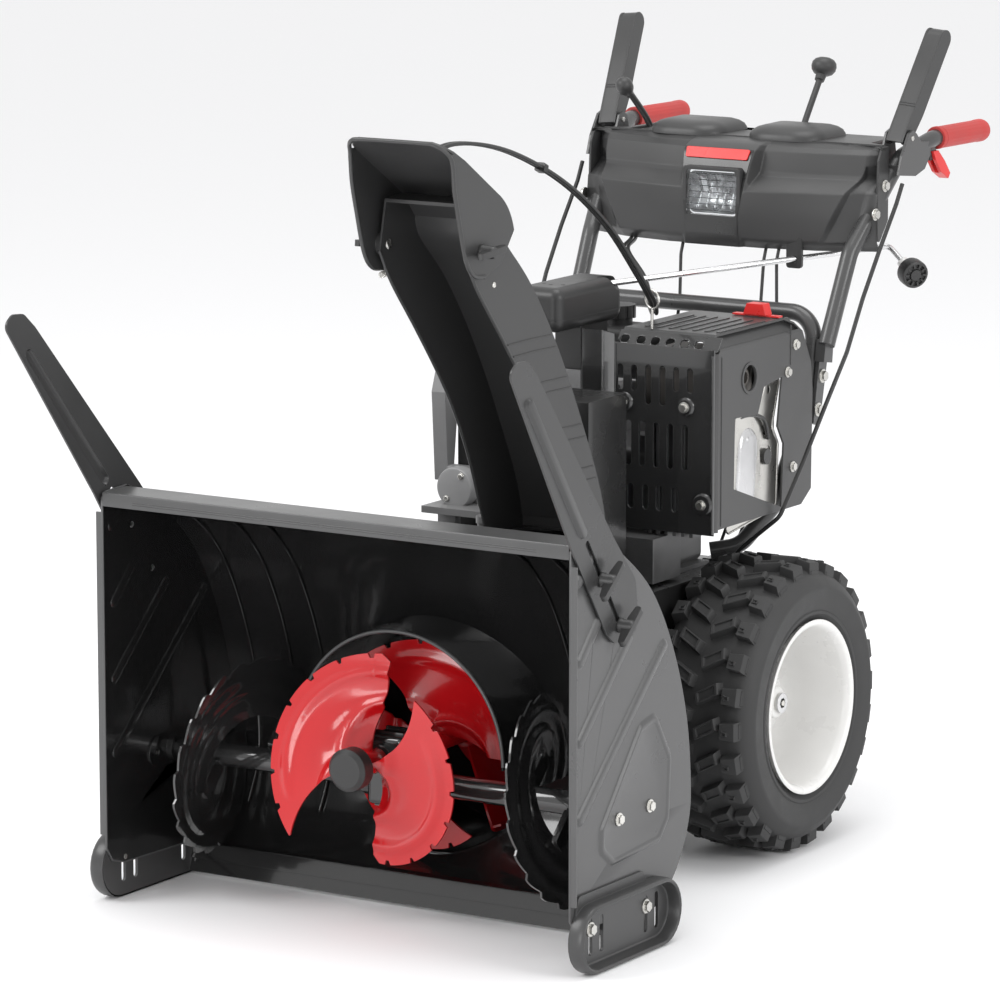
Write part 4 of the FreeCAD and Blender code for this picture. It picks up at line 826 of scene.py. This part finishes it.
def paddle(hand, side):
    """Channel-shaped bail with a rounded top, a moulded pad line and rolled edges."""
    piece = Piece(f"paddle_{hand}_channel", f"paddle_{hand}", "paddle_black")
    lean = Matrix.Translation((side * PADDLE_X, PADDLE_Y, PADDLE_Z))
    lean = lean @ Matrix.Rotation(radians(5.5 * side), 4, Vector((0, ALONG_ARM[1], -ALONG_ARM[0])))
    lean = lean @ Matrix.Translation((-side * PADDLE_X, -PADDLE_Y, -PADDLE_Z))

    def on_arm(points):
        run, rise = ALONG_ARM
        foot_y, foot_z = PADDLE_Y - 19.2, PADDLE_Z - 4.8
        return [(foot_y + run * t + rise * d, foot_z + rise * t - run * d) for t, d in points]

    profile = rounded([(0, 2), (16, 0.4), (196, 0.4), (196, 30.6), (60, 30.6), (24, 26), (2, 16)],
                      [3, 8, 14, 14, 20, 10, 4], 7)
    low, high = PADDLE_X - 14.8, PADDLE_X + 14.8
    for start, end in ((low, low + 3), (high - 3, high)):
        piece.slab(on_arm(profile), "X", *x_range(side, start, end), matrix=lean)
    start, end = x_range(side, low + 1, high - 1)
    rows = []
    face = [(2, 1.9), (16, 0.5), (100, 0.45), (180, 0.45), (189, 3.2), (194.6, 9.5), (195.8, 15), (194.6, 21),
            (189, 27.5)]
    back = [(t - (3 if t > 185 else 0), d + (3 if t <= 185 else 0.5 * (15 - d) * 0.35)) for t, d in face]
    for x in (start, end):
        rows.append([(x, y, z) for y, z in on_arm(face + back[::-1])])
    piece.grid(rows, caps=True, matrix=lean)
    for t in (62, 66):
        y, z = on_arm([(t, 0.2)])[0]
        piece.pipe([lean @ Vector((side * (PADDLE_X + end), y, z)) for end in (-14, 14)], 0.7, 6)
    piece.turn(oblong(0, 8, 0, 32.2), frame_of((1, 0, 0), (side * PADDLE_X - 16.1, PADDLE_Y, PADDLE_Z)), 24)
    piece.done([f"paddle_{hand}"], bevel=0.7, angle=45)
    pin = Piece(f"paddle_pin_{hand}", f"paddle_{hand}", "zinc")
    pin.turn(oblong(0, 3.9, 0, 45), frame_of((1, 0, 0), (side * PADDLE_X - 22.5, PADDLE_Y, PADDLE_Z)), 20)
    pin.done(bevel=0.4)


def lever_knobs():
    """Egg-shaped deflector knob and ball shift knob with their sticks."""
    stick = Piece("deflector_stick", "joystick", "paddle_black")
    stick.pipe(smooth([(-190, 1196, 950), (-190, 1188, 990), (-190, 1172, 1018), (-190, 1118, 1064)], 6),
               [5.4] * 6 + [5.0] * 13, 14)
    axis = frame_of((0, -0.75, 0.66), (-190, 1120, 1060))
    stick.turn([(0, -2), (6.5, -1), (7, 4), (9, 7), (12, 13), (13.3, 20), (12.6, 27), (9, 33), (4, 35.6),
                (0, 36)], axis, 28)
    stick.turn([(8, 0), (8, 15.2)], frame_of((1, 0, 0), (-197.6, 1196, 950)), 20)
    stick.done(["joystick"], angle=60)
    shift = Piece("speed_stick", "shift_lever", "paddle_black")
    shift.pipe(smooth([(56, 1208, 950), (56, 1212, 985), (56, 1226, 1014), (56, 1284, 1092)], 6), 5, 14)
    rows = [(0, -14), (8, -13.8), (14, -11), (18.5, -5), (19.6, 1), (18.6, 7), (14.5, 12), (8, 14.8),
            (0, 15.6)]
    shift.turn(rows, frame_of((0, 0.25, 1), (56, 1290, 1100)), 32)
    shift.turn([(7.5, -24), (8.5, -12)], frame_of((0, 0.6, 0.8), (56, 1290, 1100)), 24)
    shift.turn([(8, 0), (8, 19.2)], frame_of((1, 0, 0), (46.4, 1208, 950)), 20)
    shift.done(["shift_lever"], angle=60)


# ---------- dash
def ramp(value, start, end):
    return min(1, max(0, (value - start) / (end - start)))


COLUMN = ((1044.5, 848), (1042, 866), (1040, 893), (1041, 912), (1044, 930), (1048, 946), (1053, 962),
          (1057, 975), (1061, 985), (1067, 993), (1082, 999.5), (1100, 1002.6), (1135, 1004.4))
CHEEK = ((1052, 848), (1044, 862), (1041, 893), (1041.5, 915), (1044, 934), (1050, 940), (1073, 954),
         (1078, 960), (1082, 975), (1087, 990), (1096, 998), (1110, 1002), (1135, 1004.4))


def dash_row(row):
    """Points across half of the moulded front: proud middle column, ledged cheek, swept-back corner."""
    (y0, z0), (y1, z1) = COLUMN[row], CHEEK[row]
    wide = 47 + 14 * ramp(z0, 893, 990)
    corner = 166 + 60 * ramp(z1, 848, 965)
    drop = 11 * ramp(z1, 860, 876) * ramp(z1, 972, 958)
    slope = 28 / 146
    spots = [(x, y0, z0) for x in (0, 22, 44)] + [(wide, y0, z0), (wide + 5, y1, z1)]
    for k in range(1, 5):
        x = wide + 5 + (corner - wide - 5) * k / 4
        spots.append((x, y1 + slope * max(0, x - 80), z1))
    edge = spots[-1][1]
    end = min(1134, y1 + 56) if row < 11 else y1
    for share in (0.1, 0.55, 1):
        x = corner + (252 - corner) * share
        spots.append((x, edge + (end - edge) * share + drop * (share < 1), z1))
    return [(x, min(y, 1135), z) for x, y, z in spots]


def dash():
    """Moulded dash: sculpted front, framed lamp well, plain badge, slotted deck and two domed pods."""
    halves = [dash_row(row) for row in range(len(COLUMN))]
    rows = [[(-x, y, z) for x, y, z in half[:0:-1]] + half for half in halves]
    piece = Piece("dash_front", "machine", "console_grey")
    bezel = Piece("dash_bezel", "machine", "frame_black")
    wide = len(rows[0])
    middle = wide // 2
    shell_faces, bezel_faces = [], []
    for i in range(len(rows) - 1):
        for k in range(wide - 1):
            face = (i * wide + k, (i + 1) * wide + k, (i + 1) * wide + k + 1, i * wide + k + 1)
            behind_lens = 2 <= i < 6 and middle - 2 <= k < middle + 2
            if not behind_lens:
                shell_faces.append(face)
            if not behind_lens and 1 <= i < 9 and middle - 3 <= k < middle + 3:
                bezel_faces.append(face)
    points = [p for row in rows for p in row]
    piece.skin(points, shell_faces)
    bezel.skin([(x * 0.97, y - 0.9, z) for x, y, z in points], bezel_faces)
    bezel.done(angle=40)
    skin = piece.done(["console"], bevel=2.4, angle=16, segments=3)
    thick = skin.modifiers.new("wall", "SOLIDIFY")
    thick.thickness, thick.offset = -3 * MM, 1
    shell = Piece("dash_shell", "machine", "console_grey")
    well = oblong(-43.6, 43.6, 893.4, 961.6, 7)
    shell.slab(oblong(-49, 49, 888, 967, 5), "Y", 1040.5, 1054, [well])
    for side in (-1, 1):
        cheek = rounded([(1103, 855), (1135, 893), (1135, 1003), (1113, 1001), (1104, 985), (1100, 905)], 5)
        shell.slab(cheek, "X", *x_range(side, 248.6, 252))
        shell.slab([(1148, 900), (1238, 966), (1238, 1003), (1148, 1003)], "X", *x_range(side, 204.6, 208))
    deck = rounded([(-251.5, 1133), (251.5, 1133), (213.5, 1150), (204.5, 1239), (-204.5, 1239),
                    (-213.5, 1150)], [2, 2, 6, 10, 10, 6])
    slots = [rounded(oblong(44, 68, 1176, 1238.4), [4, 4, 0, 0]),
             rounded(oblong(-200, -180, 1135, 1238.4), [4, 4, 0, 0])]
    shell.slab(deck, "Z", 1002, 1005.6, slots)
    shell.slab(oblong(-204.5, 204.5, 966, 1000), "Y", 1236, 1239.6)
    shell.done(bevel=1.2, angle=28, segments=3)
    pods = Piece("dash_pods", "machine", "console_grey")
    for x0, x1 in ((-168, -38), (4, 134)):
        outline = rounded(oblong(x0, x1, 1118, 1232), [42, 42, 16, 16], 8)
        levels = [(0, 1003), (1, 1009), (5, 1015), (13, 1019.6), (24, 1022.6), (36, 1023.8)]
        mound(pods, outline, "Z", levels)
    pods.done(angle=70)
    badge = Piece("dash_badge", "machine", "red_plastic")
    tilt = tilted((0, 1061, 984.6), -29, "X")
    badge.slab(rounded([(-53, -8), (53, -8), (55, 9), (-55, 9)], 2.5), "Y", -2.9, -0.8, matrix=tilt)
    badge.done(bevel=0.4, angle=30)
    eyelet = Piece("dash_eyelet", "machine", "cap_black")
    hole = arc((135.8, 834.9), 4.8, 0, 345, 23)
    eyelet.slab(oblong(122, 148, 821, 869, 5), "Y", 1055.5, 1061.5, [hole])
    eyelet.done(bevel=0.5)


LAMP_Z = 927.5


def headlight():
    """Lamp: chromed stepped bowl behind a ribbed clear lens."""
    bowl = Piece("lamp_bowl", "machine", "bright_steel")
    rows = []
    for share, y in ((1, 1049), (0.97, 1056), (0.8, 1066), (0.55, 1073), (0.3, 1076)):
        rows.append([(x * share, y, LAMP_Z + (z - LAMP_Z) * share) for x, z in
                     oblong(-41.5, 41.5, 896, 959, 8 * share + 1, 4)])
    bowl.lidded(rows)
    for x in (-28, -14, 0, 14, 28):
        bowl.pipe([(x, 1053, 903), (x, 1064, 927), (x, 1053, 952)], 2.2, 8)
    bowl.turn([(0, 0), (9, 0), (9, 8), (7, 12), (0, 13)], frame_of((0, -1, 0), (0, 1074, 927)), 24)
    bowl.done(angle=30)
    lens = Piece("lamp_lens", "machine", "lamp_clear", clear_lens())
    glass = oblong(-43.4, 43.4, 893.6, 961.4, 5)
    lens.slab(glass, "Y", 1042, 1044.5)
    for k in range(7):
        z = 900 + 9.2 * k
        lens.slab(oblong(-41, 41, z, z + 1.4), "Y", 1044.5, 1045.6)
    lens.done(["headlight"], bevel=0.5, angle=40)


def clear_lens():
    look = Look("lens_plastic")
    haze = look.noise(60, 3.0)
    look.set(colour=(0.92, 0.94, 0.95, 1), rough=look.spread(haze, 0.02, 0.09), transmission=1.0, ior=1.45)
    return look.material


# ---------- engine dress
def carburettor():
    """What shows through the side window: zinc bracket, silver oval cover and their hardware."""
    plate = Piece("side_bracket", "machine", "zinc")
    outline = rounded([(742, 470), (888, 488), (893, 584), (874, 612), (897, 684), (860, 690), (836, 650),
                       (800, 640), (742, 640)], [6, 14, 14, 14, 10, 10, 20, 14, 10])
    window = rounded([(826, 560), (872, 556), (872, 584), (826, 590)], 11)
    plate.slab(outline, "X", 198, 200.4, [arc((862, 668), 6, 0, 340, 17), window])
    edge = [(200.4, y, z) for y, z in outline]
    plate.pipe(edge + edge[:1], 1.8, 8)
    plate.done(bevel=0.5, angle=40)
    cover = Piece("oval_cover", "machine", "bright_steel")
    shape = obround((778, 512), (788, 596), 58, 14)
    mound(cover, shape, "X", [(0, 200), (1.5, 206), (5, 210), (10, 212), (16, 212.6)])
    cover.dome((212.4, 780, 606), (1, 0, 0), 4)
    cover.done(angle=55)
    dark = Piece("side_shadow_box", "machine", "frame_black")
    dark.slab(oblong(732, 900, 478, 736), "X", 188, 190)
    dark.pipe(smooth([(203, 742, 634), (206, 790, 640), (206, 838, 628), (203, 858, 596)], 6, False), 3.4, 10)
    dark.turn(oblong(0, 12, 0, 6), frame_of((1, 0, 0), (200, 853, 570)), 24)
    dark.done(bevel=0.6, angle=40)


def deflector_cable_pair():
    """The hood's two cables and their clip."""
    piece = Piece("deflector_cable_pair", None, "cable_black")
    route = [(0, 88, 1076), (0, 170, 1090), (0, 285, 1074), (0, 400, 1036), (0, 500, 988), (0, 590, 928),
             (0, 660, 864), (0, 712, 810), (-30, 770, 782), (-90, 860, 784), (-150, 940, 808),
             (-220, 1010, 836), (-245, 1075, 846), (-258, 1120, 880)]
    for x in (86, 93.5):
        piece.pipe(smooth([(x + shift, y, z) for shift, y, z in route], 8, False), 2.9, 12)
    clip = tilted((89.8, 404, 1034.5), -24, "X")
    piece.slab(oblong(-8, 8, -6.5, 6.5, 3), "Y", -5, 5, matrix=clip)
    shown = piece.done(["deflector_cables"], angle=50)
    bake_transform(shown)


def head_cover():
    """Pale round cover of the chute's gear head, with its two screws."""
    disc = Piece("head_cover", "machine", "head_grey", LOOKS["head_pale"])
    disc.turn([(29.6, -20), (29.8, -1), (28.6, 1.4), (25, 2.2), (0, 2.4)],
              frame_of((0, -1, 0), (-86, 452, 556)), 56)
    disc.done(bevel=0.4, angle=40)
    screws = Piece("head_screws", "machine", "zinc")
    for x, z in ((-74, 574), (-98, 540)):
        screws.turn([(4.6, 2), (4.6, 4), (3.6, 5), (0, 5)], frame_of((0, -1, 0), (x, 452, z)), 20)
    screws.done(bevel=0.3)


GUARD_Y, COVER_X = 683.6, 214.05        # face of the front guard, face of the side covers
VENTS = (56, 83, 107, 132, 156, 180)


def engine_trim():
    """Pressed dishes, bolts and ribs on the guard and covers, and seams on the air box."""
    guard = Piece("guard_pressing", "machine", "guard_black")
    for x, z, r in ((63, 664, 11), (166, 664, 11), (195, 523, 14)):
        guard.turn([(r + 3, 3.2), (r + 1.5, 5.6), (r - 3, 8.4), (0, 8.6)], frame_of((0, -1, 0), (x, GUARD_Y,
                                                                                                 z)), 32)
    guard.pipe([(46.5, 680.6, 480), (46.5, 680.6, 748)], 1.6, 8)
    guard.pipe([(210, 680.8, 480), (210, 680.8, 742)], 2.0, 10)
    slope = tilted((0, 684.2, 741), 51.6, "X")
    holes = [oblong(x - 7, x + 7, 9, 22, 6) for x in VENTS]
    guard.slab([(44, 0), (206, 0), (213.5, 8), (213.5, 30.6), (44, 30.6)], "Z", 0, 1.6, holes, matrix=slope)
    for x in VENTS:
        ring = oblong(x - 8, x + 8, 8, 23, 7)
        guard.pipe([slope @ Vector((u, v, 1.7)) for u, v in ring + ring[:1]], 0.8, 6)
    corner = [(206 + 8.2 * sin(t), 692 - 9 * cos(t)) for t in (pi / 12 * k for k in range(7))]
    guard.grid([[(x, y, z) for z in (482, 600, 744)] for x, y in corner], ring=False)
    for low, high, spots in ((680, 718, (55, 78, 102, 126, 149, 172)), (570, 638, (69, 92, 116, 139, 164)),
                             (507, 544, (73, 98, 121, 147))):
        for x in spots:
            slot = obround((x, (662 if x in (102, 126) else low) + 5), (x, high - 5), 11.5, 6)
            guard.pipe([(u, GUARD_Y, v) for u, v in slot + slot[:1]], 1.0, 6)
    guard.done(angle=50)
    carburettor()
    cover = Piece("cover_ribs", "machine", "cover_grey")
    for i in range(7):
        x = 66 + 20 * i
        cover.slab(oblong(x, x + 7, 730, 868, 3), "Z", 767.6, 769.4)
    ring = arc((782, 697), 23.5, 0, 350, 35)
    hole = arc((782, 697), 19.2, 0, 350, 35)
    cover.slab(ring, "X", 213.6, 215.4, [hole])
    cover.pipe([(214.2, 700, 490), (214.2, 700, 738)], 1.0, 8)
    cover.pipe([(214.2, 905, 700), (214.2, 905, 760)], 1.0, 8)
    cover.done(bevel=0.5, angle=45)
    box = Piece("air_box_seam", "machine", "cover_grey", LOOKS["box_grey"])
    loop = oblong(-96.6, -16.4, 627.4, 812.6, 16, 6)
    box.grid([[(x, y, 779) for x, y in loop], [(x, y, 781.4) for x, y in loop],
              [(x * 0.99 - 0.56, y * 0.999, 781.4) for x, y in loop]])
    for x, y in ((-72, 676), (-56, 668), (-40, 676)):
        box.turn([(3.2, 0), (3.0, 0.8), (1.6, 0.9)], frame_of((0, 0, 1), (x, y, 827.6)), 16)
    box.done(angle=60)
    bolts = Piece("cover_washers", "machine", "zinc")
    for y, z in ((919, 729), (895, 691), (913, 547)):
        bolts.turn([(7.5, 0), (7.5, 1.2), (4, 1.4)], frame_of((1, 0, 0), (COVER_X, y, z)), 28)
    for side in (-1, 1):
        for y, z in ((1003, 671), (990, 622)):
            bolts.turn([(8.5, 0), (8.5, 1.2), (4, 1.4)], frame_of((side, 0, 0), (side * COVER_X, y, z)), 28)
        for y, z in ((44, 59), (191, 59)):
            bolts.turn([(10, 0), (10, 1.6), (4, 1.8)], frame_of((side, 0, 0), (side * 388.8, y, z)), 28)
    bolts.done(angle=40)


# ---------- all pieces
SIDES = (("left", 1), ("right", -1))
for hand, side in SIDES:
    for make in (tyre, rim, side_plate, auger_flight, skid_shoe, drift_cutter):
        make(hand, side)
for make in (bucket_lip, hoop_edge, impeller):
    make()
for hand, side in SIDES:
    grip(hand, side)
    paddle(hand, side)
for make in (chute_lines, hood_trim, knobs, crank_wheel, lever_knobs, dash, headlight, engine_trim,
             head_cover, deflector_cable_pair):
    make()


# ---------- studio
def lamp(name, spot, target, size, power):
    """Square area light, aimed at a target."""
    data = bpy.data.lights.new(name, "AREA")
    data.shape, data.size, data.energy = "SQUARE", size, power
    light = bpy.data.objects.new(name, data)
    light.location = spot
    light.rotation_euler = (Vector(target) - Vector(spot)).to_track_quat("-Z", "Y").to_euler()
    bpy.context.scene.collection.objects.link(light)


def studio():
    """Plain pale floor, white world and four soft lamps."""
    floor_mesh = bpy.data.meshes.new("floor")
    floor_mesh.from_pydata([(-30, -30, 0), (30, -30, 0), (30, 30, 0), (-30, 30, 0)], [], [(0, 1, 2, 3)])
    floor = bpy.data.objects.new("floor", floor_mesh)
    floor.location.z = -0.0005
    bpy.context.scene.collection.objects.link(floor)
    floor_look = Look("floor_paper")
    floor_look.set(colour=grey(0.93), rough=0.9)
    floor_mesh.materials.append(floor_look.material)
    world = bpy.data.worlds.new("studio")
    world.use_nodes = True
    world.node_tree.nodes["Background"].inputs["Color"].default_value = (1, 1, 1, 1)
    world.node_tree.nodes["Background"].inputs["Strength"].default_value = 0.95
    bpy.context.scene.world = world
    bpy.context.scene.view_settings.view_transform = "Standard"
    middle = (0, 0, 0.5)
    lamp("key", (-2.6, -3.0, 3.6), middle, 2.2, 90)
    lamp("side", (4.5, -0.5, 2.2), middle, 2.0, 60)
    lamp("top", (0.3, 0.3, 4.2), middle, 2.5, 60)
    lamp("front", (0.6, -4.6, 0.9), (0, -0.7, 0.3), 1.6, 42)


EYE = (3996.67, -5977.67, 1910.17)
EYE_DOWN, EYE_TURN = 10.21, 31.92       # degrees below the horizon, and round from looking along +Y
EYE_LENS = 193.6                        # mm, on a 36 mm sensor


def camera():
    """The photo's own view."""
    data = bpy.data.cameras.new("camera")
    data.lens, data.sensor_width = EYE_LENS, 36
    data.clip_end = 100
    eye = bpy.data.objects.new("camera", data)
    eye.location = place(*EYE)
    eye.rotation_euler = (radians(90 - EYE_DOWN), 0, radians(EYE_TURN))
    bpy.context.scene.collection.objects.link(eye)
    bpy.context.scene.camera = eye


studio()
camera()
